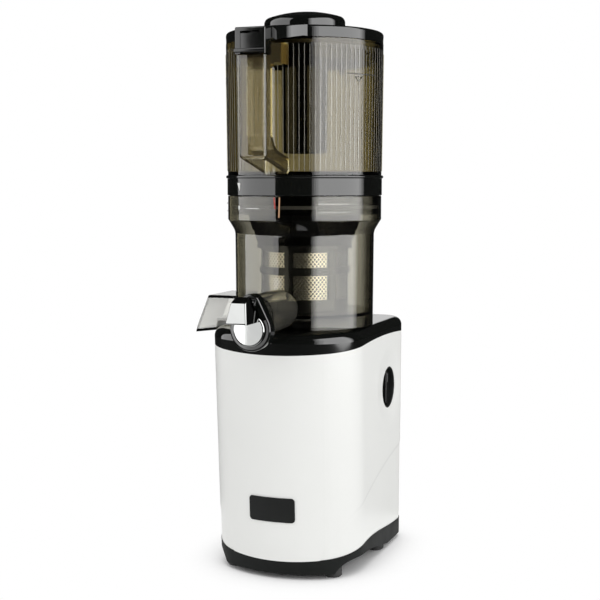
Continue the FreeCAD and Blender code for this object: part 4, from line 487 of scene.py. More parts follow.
@dataclass(frozen=True)
class SmokePlastic(Finish):
    """See-through brown-grey plastic, tinted through its thickness, with a painted shade where it turns
    away.
    """

    tint: Colour
    density: float
    haze: float = 0.0
    haze_colour: Colour = (0.8, 0.78, 0.7)
    haze_clouds: Speckle = Speckle(30.0, 2.0)
    haze_depth: float = 0.4
    # Painted edge shade: colour the surface darkens to where it turns away
    rim: Colour = (0.27, 0.265, 0.22)
    rim_blend: float = 0.5
    rim_span: Span = (0.3, 0.74)
    roughness: float = 0.012
    index: float = 1.58
    glaze_index: float = 1.6
    wipe: Speckle = Speckle(60.0, 3.0, 0.6)
    wipe_stretch: Triple = (1.0, 1.0, 0.35)
    wipe_span: Span = (0.5, 0.8)
    wipe_roughness: float = 0.03
    flow: Speckle = Speckle(70.0, 2.0, 0.4)
    flow_relief: Relief = Relief(0.04 * MM, 0.12)
    # Colour of the painted dark edge lines
    painted_edge_dark: Colour = (0.004, 0.004, 0.004)
    shadow_tint: Colour = (0.97, 0.97, 0.96)

    def haze_and_painted_light(self, graph: Graph, place: Signal) -> Signal:
        """Share of light that the plastic scatters, with no painted light in this plain plastic."""
        clouds = graph.noise(place, self.haze_clouds) - NOISE_MEAN
        return self.haze * (1.0 + clouds * self.haze_depth)

    def painted_edge_share(self, graph: Graph, place: Signal) -> Signal:
        """Share of the painted edge shade, where a clear wall turns away."""
        facing = graph.signal("ShaderNodeLayerWeight", inputs={"Blend": self.rim_blend}, output="Facing")
        return facing.step(*self.rim_span)

    def glazed(self, graph: Graph, place: Signal) -> Operand:
        """Share of a brighter gloss on the surface."""
        return 0.0

    def painted_edge_lines(self, graph: Graph, place: Signal) -> Operand:
        """Share of the surface that a painted dark edge line covers."""
        return 0.0

    def inside(self, graph: Graph) -> Signal:
        """Shader of the tint through the plastic's thickness."""
        inputs = {"Color": self.tint, "Density": self.density}
        return graph.signal("ShaderNodeVolumeAbsorption", inputs=inputs)

    def shader(self, graph: Graph, place: Signal) -> Signal:
        """Draw the surface, which neither casts a shadow nor shows in other pieces' gloss.

        Args:
            graph: Graph of the material.
            place: Position on the piece.

        Returns:
            The shader.
        """
        wipe = graph.noise(graph.stretched(place, self.wipe_stretch), self.wipe).step(*self.wipe_span)
        glass = graph.surface(
            # Painted edge shade: the base colour darkens towards rim where the wall turns away
            Base_Color=graph.blend(self.painted_edge_share(graph, place), WHITE, self.rim),
            Roughness=self.roughness + wipe * self.wipe_roughness,
            IOR=self.index,
            Transmission_Weight=1.0,
            Coat_Weight=self.glazed(graph, place),
            Coat_IOR=self.glaze_index,
            Normal=graph.bump(graph.noise(place, self.flow), self.flow_relief),
        )
        # Scattered haze and any painted light or glint come in as pale diffuse
        body = graph.mixed(self.haze_and_painted_light(graph, place), glass, graph.diffuse(self.haze_colour))
        # Painted dark edge lines: near-black diffuse where painted_edge_lines gives a share
        body = graph.mixed(self.painted_edge_lines(graph, place), body, graph.diffuse(self.painted_edge_dark))
        clear = graph.signal("ShaderNodeBsdfTransparent", inputs={"Color": self.shadow_tint})
        mirrored = graph.ray(Ray.GLOSSY) - graph.ray(Ray.TRANSMISSION)
        return graph.mixed(graph.ray(Ray.SHADOW).greater(mirrored), body, clear)


@dataclass(frozen=True)
class RibbedSmoke(SmokePlastic):
    """Smoke plastic of the hopper, with a painted glint of pale diffuse and a brighter gloss along its
    upright ribs' crests.
    """

    ribs: int = 96
    low: float = 357.5 * MM
    high: float = 466.5 * MM
    end_fade: float = 1.0 * MM
    outer: float = 70.0 * MM
    outer_fade: float = 0.2 * MM
    crest_span: Span = (0.03, 0.11)
    # Share of pale diffuse painted as a glint on the crests
    painted_glint: float = 0.2
    side_gain: float = 0.5

    def crests(self, graph: Graph, place: Signal) -> Signal:
        """Mask of the ribs' crests.

        Args:
            graph: Graph of the material.
            place: Position on the piece.

        Returns:
            The mask, from 0 to 1.
        """
        out, back, z = graph.from_axis(place)
        turn = back.bearing(out) * (self.ribs / math.tau)
        crest = (turn.fraction() - 0.5).size().fade(*self.crest_span)
        outside = out.length(back).step(self.outer, self.outer + self.outer_fade)
        tall = z.step(self.low, self.low + self.end_fade) * z.fade(self.high - self.end_fade, self.high)
        return crest * outside * tall

    def haze_and_painted_light(self, graph: Graph, place: Signal) -> Signal:
        """Share of light that the plastic scatters, plus a painted glint on the crests, strongest at the
        hopper's sides.
        """
        sides = 1.0 + self.painted_edge_share(graph, place) * self.side_gain
        return self.haze + self.crests(graph, place) * (self.painted_glint * sides)

    def glazed(self, graph: Graph, place: Signal) -> Signal:
        """Share of a brighter gloss, on the crests alone."""
        return self.crests(graph, place)


@dataclass(frozen=True)
class BowlSmoke(SmokePlastic):
    """Smoke plastic of the bowl, with less painted edge shade and a little painted light on its juice tube.
    """

    tube_from: float = 64.0 * MM
    tube_top: float = 258.0 * MM
    tube_fade: float = 2.0 * MM
    # Share of the painted edge shade taken away on the juice tube
    tube_clear: float = 0.85
    # Share of pale diffuse painted on the juice tube as light
    tube_painted_light: float = 0.035

    def tube(self, graph: Graph, place: Signal) -> Signal:
        """Mask of the juice tube.

        Args:
            graph: Graph of the material.
            place: Position on the piece.

        Returns:
            The mask, from 0 to 1.
        """
        out, back, z = graph.from_axis(place)
        beyond = out.length(back).step(self.tube_from, self.tube_from + self.tube_fade)
        return beyond * z.fade(self.tube_top - self.tube_fade, self.tube_top)

    def painted_edge_share(self, graph: Graph, place: Signal) -> Signal:
        """Share of the painted edge shade, less on the juice tube."""
        return super().painted_edge_share(graph, place) * (1.0 - self.tube(graph, place) * self.tube_clear)

    def haze_and_painted_light(self, graph: Graph, place: Signal) -> Signal:
        """Share of light that the plastic scatters, plus a little painted light on the juice tube."""
        return self.haze + self.tube(graph, place) * self.tube_painted_light


@dataclass(frozen=True)
class ChuteSmoke(SmokePlastic):
    """Pale plastic of the pulp chute with painted dark lines along its upper and lower edges."""

    top: float = 244.5 * MM
    front: float = -2.0 * MM
    lip: float = 209.5 * MM
    tip: float = -83.85 * MM
    rise: float = 0.124
    band: float = 2.3 * MM
    band_fade: float = 0.46 * MM
    top_edge: Span = (0.092 * MM, 0.276 * MM)
    front_depth: Span = (0.92 * MM, 1.15 * MM)

    def painted_edge_lines(self, graph: Graph, place: Signal) -> Signal:
        """Share of the painted dark line along the front's upper edge and along the lip.

        Args:
            graph: Graph of the material.
            place: Position on the piece.

        Returns:
            The share, from 0 to 1.
        """
        x, y, z = graph.parts_of(place)
        band_end = self.band + self.band_fade
        below_top = self.top - z
        upper = below_top.step(*self.top_edge) * below_top.fade(self.band, band_end)
        facing = (y - self.front).fade(*self.front_depth)
        above_lip = z - (x - self.tip) * self.rise - self.lip
        return (upper * facing).greater(above_lip.fade(self.band, band_end))


@dataclass(frozen=True)
class Metal(Finish):
    """Bare or plated metal with a drawn grain, smudges and darker pits."""

    colour: Colour
    roughness: float
    brushed: Triple = (1.0, 1.0, 1.0)
    streak: float = 0.0
    relief: Relief = Relief(0.02 * MM, 0.3)
    pits: float = 0.86
    lines: Speckle = Speckle(900.0, 3.0, 0.6)
    line_roughness: float = 0.12
    smudge: Speckle = Speckle(45.0, 4.0, 0.6)
    smudge_span: Span = (0.4, 0.8)
    smudge_roughness: float = 0.05

    def shader(self, graph: Graph, place: Signal) -> Signal:
        """Draw the surface.

        Args:
            graph: Graph of the material.
            place: Position on the piece.

        Returns:
            The shader.
        """
        lines = graph.noise(graph.stretched(place, self.brushed), self.lines)
        smudge = graph.noise(place, self.smudge)
        shade = smudge * (1.0 - self.streak) + lines * self.streak
        smudged = smudge.step(*self.smudge_span) * self.smudge_roughness
        return graph.surface(
            Base_Color=graph.blend(shade, scaled(self.colour, self.pits), self.colour),
            Metallic=1.0,
            Roughness=self.roughness + smudged + lines * (self.line_roughness * self.streak),
            Normal=graph.bump(lines, self.relief),
        )


@dataclass(frozen=True)
class SoftRubber(Finish):
    """Rubber, silicone or cloth: dull, faintly dusty, with a fine skin."""

    colour: Colour
    dust: Colour
    roughness: float = 0.62
    specks: Speckle = Speckle(1300.0, 3.0, 0.65)
    speck_span: Span = (0.6, 0.8)
    speck_share: float = 0.2
    speck_roughness: float = 0.16
    patches: Speckle = Speckle(110.0, 3.0, 0.6)
    patch_span: Span = (0.45, 0.8)
    patch_share: float = 0.35
    skin: Relief = Relief(0.12 * MM, 0.5)

    def shader(self, graph: Graph, place: Signal) -> Signal:
        """Draw the surface.

        Args:
            graph: Graph of the material.
            place: Position on the piece.

        Returns:
            The shader.
        """
        specks = graph.noise(place, self.specks)
        patches = graph.noise(place, self.patches).step(*self.patch_span)
        dusty = patches * self.patch_share + specks.step(*self.speck_span) * self.speck_share
        return graph.surface(
            Base_Color=graph.blend(dusty, self.colour, self.dust),
            Roughness=self.roughness + specks * self.speck_roughness,
            Normal=graph.bump(specks, self.skin),
        )


@dataclass(frozen=True)
class PerforatedSteel(Finish):
    """Sheet of the strainer: warm steel with staggered round holes."""

    steel: Colour
    hole: Colour
    radius: float
    across: float = 3.5 * MM
    along: float = 2.05 * MM
    hole_edge: Span = (0.7544 * MM, 1.012 * MM)
    hole_roughness: float = 0.6
    polish: float = 0.4
    stain: Speckle = Speckle(120.0, 3.0, 0.6)
    stain_roughness: float = 0.06
    worn: float = 0.88
    pressed: Relief = Relief(0.25 * MM, 0.6)

    def shader(self, graph: Graph, place: Signal) -> Signal:
        """Draw the surface, with every second row of holes set off by half a hole's pitch.

        Args:
            graph: Graph of the material.
            place: Position on the piece.

        Returns:
            The shader.
        """
        out, back, z = graph.from_axis(place)
        columns = round(math.tau * self.radius / self.across)
        turn = back.bearing(out) * (columns / math.tau)
        row = z / self.along
        odd = (row.floor() * 0.5).fraction()
        side = ((turn + odd).fraction() - 0.5) * self.across
        rise = (row.fraction() - 0.5) * self.along
        metal = side.length(rise).step(*self.hole_edge)
        stain = graph.noise(place, self.stain)
        steel = graph.blend(stain, scaled(self.steel, self.worn), self.steel)
        return graph.surface(
            Base_Color=graph.blend(metal, self.hole, steel),
            Metallic=metal,
            Roughness=self.hole_roughness - metal * self.polish + stain * self.stain_roughness,
            Normal=graph.bump(metal, self.pressed),
        )


@dataclass(frozen=True)
class Laminate(Finish):
    """Circuit card: solder mask with traces and bright pads."""

    mask: Colour
    trace: Colour
    lanes: float = 260.0
    lane_edge: Span = (0.18, 0.24)
    crossings: float = 190.0
    crossing_edge: Span = (0.2, 0.26)
    cells: Speckle = Speckle(130.0, 1.0)
    cell_span: Span = (0.45, 0.55)
    trace_share: float = 0.8
    roughness: float = 0.35
    cell_roughness: float = 0.1
    etched: Relief = Relief(0.04 * MM, 0.5)

    def shader(self, graph: Graph, place: Signal) -> Signal:
        """Draw the surface.

        Args:
            graph: Graph of the material.
            place: Position on the piece.

        Returns:
            The shader.
        """
        x, y, _ = graph.parts_of(place)
        along = ((x * self.lanes).fraction() - 0.5).size().step(*self.lane_edge)
        across = ((y * self.crossings).fraction() - 0.5).size().step(*self.crossing_edge)
        cells = graph.noise(place, self.cells)
        copper = (1.0 - along.lesser(across)) * cells.step(*self.cell_span)
        return graph.surface(
            Base_Color=graph.blend(copper * self.trace_share, self.mask, self.trace),
            Roughness=self.roughness + cells * self.cell_roughness,
            Normal=graph.bump(copper, self.etched),
        )


@dataclass(frozen=True)
class PrintInk(Finish):
    """Pad-printed ink: slightly uneven cover over the plastic."""

    colour: Colour
    thin: float = 0.8
    cover: Speckle = Speckle(2200.0, 3.0, 0.6)
    cover_roughness: float = 0.12
    roughness: float = 0.42
    film: Relief = Relief(0.02 * MM, 0.4)

    def shader(self, graph: Graph, place: Signal) -> Signal:
        """Draw the surface.

        Args:
            graph: Graph of the material.
            place: Position on the piece.

        Returns:
            The shader.
        """
        cover = graph.noise(place, self.cover)
        return graph.surface(
            Base_Color=graph.blend(cover, scaled(self.colour, self.thin), self.colour),
            Roughness=self.roughness + cover * self.cover_roughness,
            Normal=graph.bump(cover, self.film),
        )


@dataclass(frozen=True)
class FloorPaint(Finish):
    """Pale floor that keeps the object's shadow and is white where nothing shades it."""

    pale: Colour = (0.88, 0.88, 0.88)
    bright: Colour = (0.9, 0.9, 0.9)
    grain: Speckle = Speckle(300.0, 2.0)
    roughness: float = 0.9
    sheen: float = 0.1
    shade_reach: float = 60.0 * MM
    open_span: Span = (0.3, 0.92)

    def shader(self, graph: Graph, place: Signal) -> Signal:
        """Draw the surface.

        Args:
            graph: Graph of the material.
            place: Position on the floor.

        Returns:
            The shader.
        """
        paint = graph.surface(
            Base_Color=graph.blend(graph.noise(place, self.grain), self.pale, self.bright),
            Roughness=self.roughness,
            Specular_IOR_Level=self.sheen,
        )
        glow = graph.signal("ShaderNodeEmission", inputs={"Color": WHITE, "Strength": 1.0})
        open_sky = graph.openness(self.shade_reach).step(*self.open_span)
        return graph.mixed(open_sky * graph.shown(), paint, glow)


@dataclass
class Finishes:
    """All finishes of the machine and its set, made once and shared by the pieces."""

    made: dict[str, bpy.types.Material] = field(default_factory=dict)

    def __post_init__(self) -> None:
        """Make every finish."""
        kinds = [*self.plastics(), *self.smokes(), *self.metals(), *self.others()]
        for kind in kinds:
            self.made[kind.name] = kind.build()
            LOG.info("finish %s", kind.name)

    def plastics(self) -> list[Finish]:
        """List the opaque plastics and the paint.

        Returns:
            The finishes.
        """
        satin = (0.008, 0.009, 0.0085)
        return [
            CreasedPlastic("white_shell", (0.80, 0.805, 0.785), 0.3, Grain.PEEL, cloud=0.02, index=1.3),
            MouldedPlastic(
                "black_gloss", (0.0045, 0.005, 0.0045), 0.045, Grain.POLISHED,
                cloud=0.2, haze=0.03, index=1.58,
            ),
            MouldedPlastic("black_satin", satin, 0.5, Grain.SPARKED, cloud=0.15, haze=0.08, index=1.28),
            MouldedPlastic("trim_black", satin, 0.5, Grain.SPARKED, cloud=0.15, haze=0.08, index=1.2),
            MouldedPlastic("dial_black", (0.008, 0.008, 0.008), 0.2, Grain.SPARKED, cloud=0.15, haze=0.06),
            MouldedPlastic(
                "strainer_black", (0.022, 0.022, 0.022), 0.14, Grain.POLISHED,
                coat=0.3, cloud=0.15, haze=0.06,
            ),
            MouldedPlastic("screw_resin", (0.045, 0.043, 0.04), 0.34, Grain.SPARKED, cloud=0.2, haze=0.1),
            MouldedPlastic("white_gear", (0.74, 0.73, 0.68), 0.42, Grain.SPARKED, cloud=0.05, haze=0.08),
            MouldedPlastic("switch_grey", (0.2, 0.2, 0.21), 0.45, Grain.SPARKED, cloud=0.12, haze=0.08),
            MouldedPlastic(
                "motor_paint", (0.13, 0.135, 0.14), 0.4, Grain.PEEL, coat=0.2, cloud=0.12, haze=0.1,
            ),
        ]

    def smokes(self) -> list[Finish]:
        """List the see-through plastics.

        Returns:
            The finishes.
        """
        return [
            RibbedSmoke("smoke_hopper", (0.417, 0.356, 0.1), 690.0, rim=(0.2, 0.19, 0.15)),
            SmokePlastic(
                "smoke_handle", (0.62, 0.55, 0.26), 250.0, haze=0.028, haze_colour=(0.8, 0.66, 0.36),
            ),
            BowlSmoke("smoke_bowl", (0.42, 0.40, 0.30), 480.0, rim=(0.19, 0.18, 0.14)),
            ChuteSmoke(
                "smoke_chute", (0.6, 0.59, 0.54), 200.0,
                haze=0.25, haze_colour=(0.85, 0.85, 0.81), rim=(0.02, 0.02, 0.02),
            ),
            SmokePlastic("smoke_throat", (0.12, 0.11, 0.09), 900.0),
        ]

    def metals(self) -> list[Finish]:
        """List the metals.

        Returns:
            The finishes.
        """
        return [
            Metal("chrome_plate", (0.325, 0.33, 0.325), 0.03, relief=Relief(0.008 * MM, 0.3)),
            Metal("steel", (0.62, 0.62, 0.62), 0.2, brushed=(1.0, 1.0, 0.05), streak=0.6),
            Metal("bronze", (0.62, 0.43, 0.22), 0.32, streak=0.2),
            Metal("cast_metal", (0.55, 0.56, 0.57), 0.42, streak=0.3, relief=Relief(0.1 * MM, 0.3)),
            PerforatedSteel("sieve_steel", (0.98, 0.93, 0.82), (0.03, 0.028, 0.025), radius=38.0 * MM),
        ]

    def others(self) -> list[Finish]:
        """List rubber, circuit card, inks and what the set is made of.

        Returns:
            The finishes.
        """
        return [
            SoftRubber("foot_rubber", (0.013, 0.013, 0.013), (0.06, 0.058, 0.055)),
            SoftRubber("silicone", (0.12, 0.12, 0.12), (0.2, 0.2, 0.19), roughness=0.5),
            Laminate("board", (0.02, 0.11, 0.04), (0.35, 0.25, 0.08)),
            PrintInk("dark_ink", (0.012, 0.012, 0.011)),
            PrintInk("white_ink", (0.82, 0.82, 0.80)),
            PrintInk("dial_ink", (0.16, 0.16, 0.16)),
            PrintInk("red_ink", (0.42, 0.03, 0.02)),
            PrintInk("amber_ink", (0.5, 0.26, 0.13)),
            SoftRubber("flag_cloth", (0.006, 0.006, 0.006), (0.01, 0.01, 0.01), roughness=0.9),
            FloorPaint("floor_white"),
        ]

    def wear(self, piece: bpy.types.Object, finish: str) -> None:
        """Give a piece one finish in all its slots.

        Args:
            piece: The piece.
            finish: Name of the finish.
        """
        material = self.made[finish]
        if not piece.material_slots:
            piece.data.materials.append(material)
        for material_slot in piece.material_slots:
            material_slot.link = "OBJECT"
            material_slot.material = material

    def dress(self, finish: str, nodes: Iterable[str]) -> None:
        """Give CAD nodes one finish.

        Args:
            finish: Name of the finish.
            nodes: Names of the nodes.
        """
        for name in nodes:
            self.wear(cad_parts[name], finish)
            LOG.info("node %s wears %s", name, finish)


def linked(thing: bpy.types.Object) -> bpy.types.Object:
    """Put an object into the scene."""
    bpy.context.scene.collection.objects.link(thing)
    return thing


def around(bearing: float, reach: float, height: float, centre: Span = (0.0, 0.0)) -> Vector:
    """Point on a circle round an upright axis.

    Args:
        bearing: Degrees from the front towards the right.
        reach: Radius in metres.
        height: Height in metres.
        centre: X and Y of the axis.

    Returns:
        The point.
    """
    turn = math.radians(bearing)
    x, y = centre
    return Vector((x + reach * math.sin(turn), y - reach * math.cos(turn), height))


class Sketch:
    """Mesh under construction."""

    def __init__(self) -> None:
        """Start an empty mesh."""
        self.shape = bmesh.new()

    def row(self, places: Iterable[Sequence[float]]) -> list[bmesh.types.BMVert]:
        """Add points in a row."""
        return [self.shape.verts.new(place) for place in places]

    def face(self, points: Sequence[bmesh.types.BMVert]) -> None:
        """Add a face."""
        self.shape.faces.new(points)

    def band(self, near: Sequence[bmesh.types.BMVert], far: Sequence[bmesh.types.BMVert]) -> None:
        """Join two rows of as many points by a band of faces."""
        for k in range(len(near) - 1):
            self.face((near[k], near[k + 1], far[k + 1], far[k]))

    def bar(self, rings: Iterable[Iterable[Sequence[float]]]) -> None:
        """Draw a closed bar.

        Args:
            rings: Rings of as many points each, from one end of the bar to the other.
        """
        rows = [self.row(ring) for ring in rings]
        for near, far in zip(rows, rows[1:]):
            self.band([*near, near[0]], [*far, far[0]])
        self.face(rows[0])
        self.face(rows[-1][::-1])

    def piece(self, name: str) -> bpy.types.Object:
        """Turn the sketch into an object.

        Args:
            name: Name of the piece.

        Returns:
            The object, in the scene.
        """
        mesh = bpy.data.meshes.new(name)
        bmesh.ops.recalc_face_normals(self.shape, faces=self.shape.faces)
        self.shape.to_mesh(mesh)
        self.shape.free()
        return linked(bpy.data.objects.new(name, mesh))


@dataclass
class Mark:
    """Mark that rides on a body of the machine."""

    name: str
    body: str
    slot: str
    finish: str

    def mount(self, sketch: Sketch, finishes: Finishes) -> None:
        """Make a sketch the mark's piece, dress it and fix it to its body.

        Args:
            sketch: Form of the mark.
            finishes: Finishes of the machine.
        """
        piece = sketch.piece(self.name)
        finishes.wear(piece, self.finish)
        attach(piece, self.body)
        LOG.info("piece %s", self.name)


@dataclass(frozen=True)
class Strip:
    """Strip on a round wall between two points, each a bearing in degrees and a height in metres."""

    start: WallPoint
    end: WallPoint
    width: float

    def turned(self, bearing: float) -> "Strip":
        """Same strip, further round the wall."""
        ends = [(start + bearing, height) for start, height in (self.start, self.end)]
        return Strip(*ends, self.width)


@dataclass
class RoundMark(Mark):
    """Thin raised mark on a round wall about the drive axis, with a facet every few degrees."""

    radius: Callable[[float], float]
    thick: float = 0.12 * MM
    facet: float = 1.5

    def spot(self, bearing: float, height: float, out: float = 0.0) -> Vector:
        """Point on the wall, or out from it."""
        return around(bearing, self.radius(height) + out, height, (AXIS_X, AXIS_Y))

    def rings(self, strip: Strip) -> list[list[Vector]]:
        """Cross sections of a strip that bends with the wall.

        Args:
            strip: The strip.

        Returns:
            Rings of four points, from the strip's start to its end.
        """
        (first, low), (last, high) = strip.start, strip.end
        reach = self.radius(low)
        across = math.radians(last - first) * reach
        rise = high - low
        length = math.hypot(across, rise)
        side_turn = math.degrees(-rise / length * strip.width / 2 / reach)
        side_rise = across / length * strip.width / 2
        corners = ((0.0, -1), (self.thick, -1), (self.thick, 1), (0.0, 1))
        steps = max(1, round(abs(last - first) / self.facet))
        rings = []
        for k in range(steps + 1):
            bearing = first + (last - first) * (k / steps)
            height = low + rise * (k / steps)
            rings.append([
                self.spot(bearing + side * side_turn, height + side * side_rise, out)
                for out, side in corners
            ])
        return rings

    def strips(self, strips: Iterable[Strip], finishes: Finishes) -> None:
        """Make the mark from strips.

        Args:
            strips: The strips.
            finishes: Finishes of the machine.
        """
        sketch = Sketch()
        for strip in strips:
            sketch.bar(self.rings(strip))
        self.mount(sketch, finishes)

    def patch(self, corners: Sequence[WallPoint], finishes: Finishes) -> None:
        """Make the mark from one flat patch.

        Args:
            corners: Bearing and height of each corner.
            finishes: Finishes of the machine.
        """
        sketch = Sketch()
        sketch.bar([self.spot(*corner, out) for corner in corners] for out in (0.0, self.thick))
        self.mount(sketch, finishes)


@dataclass
class SubAssembly:
    """Group of CAD nodes with their finishes and marks."""

    wears: ClassVar[dict[str, tuple[str, ...]]] = {}

    def marks(self, finishes: Finishes) -> None:
        """Add what is printed on the group or raised from it."""

    def build(self, finishes: Finishes) -> None:
        """Dress the group's nodes and add its marks.

        Args:
            finishes: Finishes of the machine.
        """
        for finish, nodes in self.wears.items():
            finishes.dress(finish, nodes)
        self.marks(finishes)
        LOG.info("group %s", type(self).__name__)


@dataclass
class MotorBase(SubAssembly):
    """Motor base with its switch, drive and electrics."""

    wears = {
        "white_shell": ("main_housing",),
        "black_gloss": ("top_cover",),
        "dial_black": ("switch_dial",),
        "trim_black": ("bottom_cover",),
        "black_satin": ("nameplate", "switch_cup", "cord_gland"),
        "foot_rubber": ("rubber_feet",),
        "silicone": ("shaft_seal",),
        "switch_grey": ("switch_body",),
        "motor_paint": ("motor",),
        "steel": (
            "motor_shaft", "countershaft", "output_gear", "drive_shaft", "drive_bearings", "gearbox_screws",
        ),
        "white_gear": ("reduction_gear",),
        "bronze": ("countershaft_bushes",),
        "cast_metal": ("gearbox_housing", "gearbox_cover"),
        "board": ("control_board",),
    }
    # Places from the drive axis and the table, then the dial's own sizes
    dial_right: float = 57.3 * MM
    dial_behind: float = 44.5 * MM
    dial_height: float = 155.6 * MM
    dial_disc: float = 3.7 * MM
    dial_grip: float = 6.0 * MM
    index_top: float = 13.0 * MM
    index_length: float = 8.0 * MM
    index_width: float = 1.4 * MM
    index_thick: float = 0.1 * MM

    def marks(self, finishes: Finishes) -> None:
        """Draw the grey line on the crest of the dial's grip, a small bar with a pointed upper end.

        Args:
            finishes: Finishes of the machine.
        """
        half = self.index_width / 2
        crest = AXIS_X + self.dial_right + self.dial_disc + self.dial_grip
        middle = AXIS_Y + self.dial_behind
        top = self.dial_height + self.index_top
        low = top - self.index_length
        outline = [(-half, low), (half, low), (half, top - half), (0.0, top), (-half, top - half)]
        sketch = Sketch()
        sketch.bar(
            [(crest + out, middle + side, height) for side, height in outline]
            for out in (0.0, self.index_thick)
        )
        Mark("dial_index", "switch", "white_shell", "dial_ink").mount(sketch, finishes)


@dataclass
class JuicingBowl(SubAssembly):
    """See-through bowl with spout, chute, strainer and screw."""

    wears = {
        "smoke_bowl": ("juicing_bowl",),
        "smoke_chute": ("pulp_chute",),
        "black_gloss": ("spout_head",),
        "chrome_plate": ("cap_lever",),
        "steel": ("cap_pin", "screw_socket"),
        "silicone": ("bowl_seal", "pulp_gasket", "cap_seal"),
        "strainer_black": ("strainer_frame",),
        "sieve_steel": ("strainer_mesh",),
        "screw_resin": ("juicing_screw",),
    }
    track_starts: ClassVar[dict[str, float]] = {
        "track_right": 28.7, "track_rear": 148.7, "track_left": -91.3,
    }
    band_radius: float = 70.4 * MM
    red_line: Strip = Strip((-1.3, 335.4 * MM), (-0.7, 325.5 * MM), 1.3 * MM)
    amber_line: Strip = Strip((2.8, 335.4 * MM), (2.3, 318.0 * MM), 1.2 * MM)
    white_block: Strip = Strip((-35.6, 326.2 * MM), (-33.8, 326.2 * MM), 3.4 * MM)
    white_line: Strip = Strip((-26.4, 325.6 * MM), (-13.8, 325.6 * MM), 0.6 * MM)
    track_height: float = 0.5 * MM
    track_entry: Strip = Strip((0.0, 329.2 * MM), (0.7, 317.5 * MM), 0.9 * MM)
    track_upper: Strip = Strip((1.2, 329.6 * MM), (25.3, 329.6 * MM), 1.0 * MM)
    track_lower: Strip = Strip((1.6, 322.6 * MM), (25.3, 322.6 * MM), 0.6 * MM)

    def wall(self, height: float) -> float:
        """Outer radius of the rim band, the same at each height."""
        return self.band_radius

    def marks(self, finishes: Finishes) -> None:
        """Add the printed lines that line up with the collar, and the raised bayonet tracks.

        Args:
            finishes: Finishes of the machine.
        """
        red = RoundMark("bowl_mark_red", "bowl", "black_gloss", "red_ink", self.wall)
        red.strips([self.red_line], finishes)
        amber = RoundMark("bowl_mark_amber", "bowl", "black_gloss", "amber_ink", self.wall)
        amber.strips([self.amber_line], finishes)
        white = RoundMark("bowl_mark_white", "bowl", "white_shell", "white_ink", self.wall)
        white.strips([self.white_block, self.white_line], finishes)
        track = (self.track_entry, self.track_upper, self.track_lower)
        for name, start in self.track_starts.items():
            raised = RoundMark(name, "bowl", "smoke_clear", "smoke_bowl", self.wall, self.track_height)
            raised.strips([strip.turned(start) for strip in track], finishes)


@dataclass
class Hopper(SubAssembly):
    """Ribbed hopper with collar, throat and handle. Bearings are in degrees from the front."""

    wears = {
        "smoke_hopper": ("hopper",),
        "smoke_handle": ("hopper_handle",),
        "black_gloss": ("hopper_collar",),
        "smoke_throat": ("feed_throat",),
        "silicone": ("throat_seal",),
        "steel": ("hinge_pin",),
    }
    foot_radius: float = 70.4 * MM
    foot_height: float = 354.9 * MM
    tall: float = 116.9 * MM
    flare: float = 1.2 * MM
    rib_height: float = 0.35 * MM
    mark_bearing: float = 61.5
    line_height: float = 441.8 * MM
    line_forward: float = 10.8
    line_rearward: float = 20.5
    line_width: float = 0.55 * MM
    triangle_top: float = 439.5 * MM
    triangle_tip: float = 435.2 * MM
    triangle_half: float = 3.4
    triangle_line: float = 0.44 * MM
    collar_radius: float = 70.9 * MM
    pointer: tuple[WallPoint, ...] = ((-36.4, 347.9 * MM), (-32.6, 347.9 * MM), (-33.4, 340.9 * MM))

    def wall(self, height: float) -> float:
        """Radius over the ribs at a height."""
        return self.foot_radius + (height - self.foot_height) / self.tall * self.flare + self.rib_height

    def collar_wall(self, height: float) -> float:
        """Outer radius of the collar, the same at each height."""
        return self.collar_radius

    def fill_mark(self, middle: float, before: float, after: float) -> list[Strip]:
        """Plan a fill line with an open triangle under it.

        Args:
            middle: Bearing of the triangle's tip.
            before: Degrees of the line to the left of the tip.
            after: Degrees of the line to the right of the tip.

        Returns:
            The strips.
        """
        left = (middle - self.triangle_half, self.triangle_top)
        right = (middle + self.triangle_half, self.triangle_top)
        tip = (middle, self.triangle_tip)
        sides = ((left, right), (right, tip), (tip, left))
        line_start = (middle - before, self.line_height)
        line_end = (middle + after, self.line_height)
        line = Strip(line_start, line_end, self.line_width)
        return [line, *(Strip(start, end, self.triangle_line) for start, end in sides)]

    def marks(self, finishes: Finishes) -> None:
        """Add a fill mark on both sides of the handle and the collar's pointer.

        Args:
            finishes: Finishes of the machine.
        """
        right = self.fill_mark(self.mark_bearing, self.line_forward, self.line_rearward)
        left = self.fill_mark(-self.mark_bearing, self.line_rearward, self.line_forward)
        for name, strips in (("fill_mark_right", right), ("fill_mark_left", left)):
            RoundMark(name, "hopper", "black_gloss", "dark_ink", self.wall).strips(strips, finishes)
        pointer = RoundMark("collar_pointer", "hopper", "white_shell", "white_ink", self.collar_wall)
        pointer.patch(self.pointer, finishes)


@dataclass
class Lid(SubAssembly):
    """Lid with knob and latch."""

    wears = {
        "black_gloss": ("lid", "lid_plunger", "lid_knob", "lid_latch"),
        "silicone": ("lid_gasket",),
        "steel": ("knob_screw", "latch_pin"),
    }


class LampUse(Enum):
    """What a lamp is there for."""

    MIRRORED = "seen in gloss"
    SHADING = "lights dull surfaces"


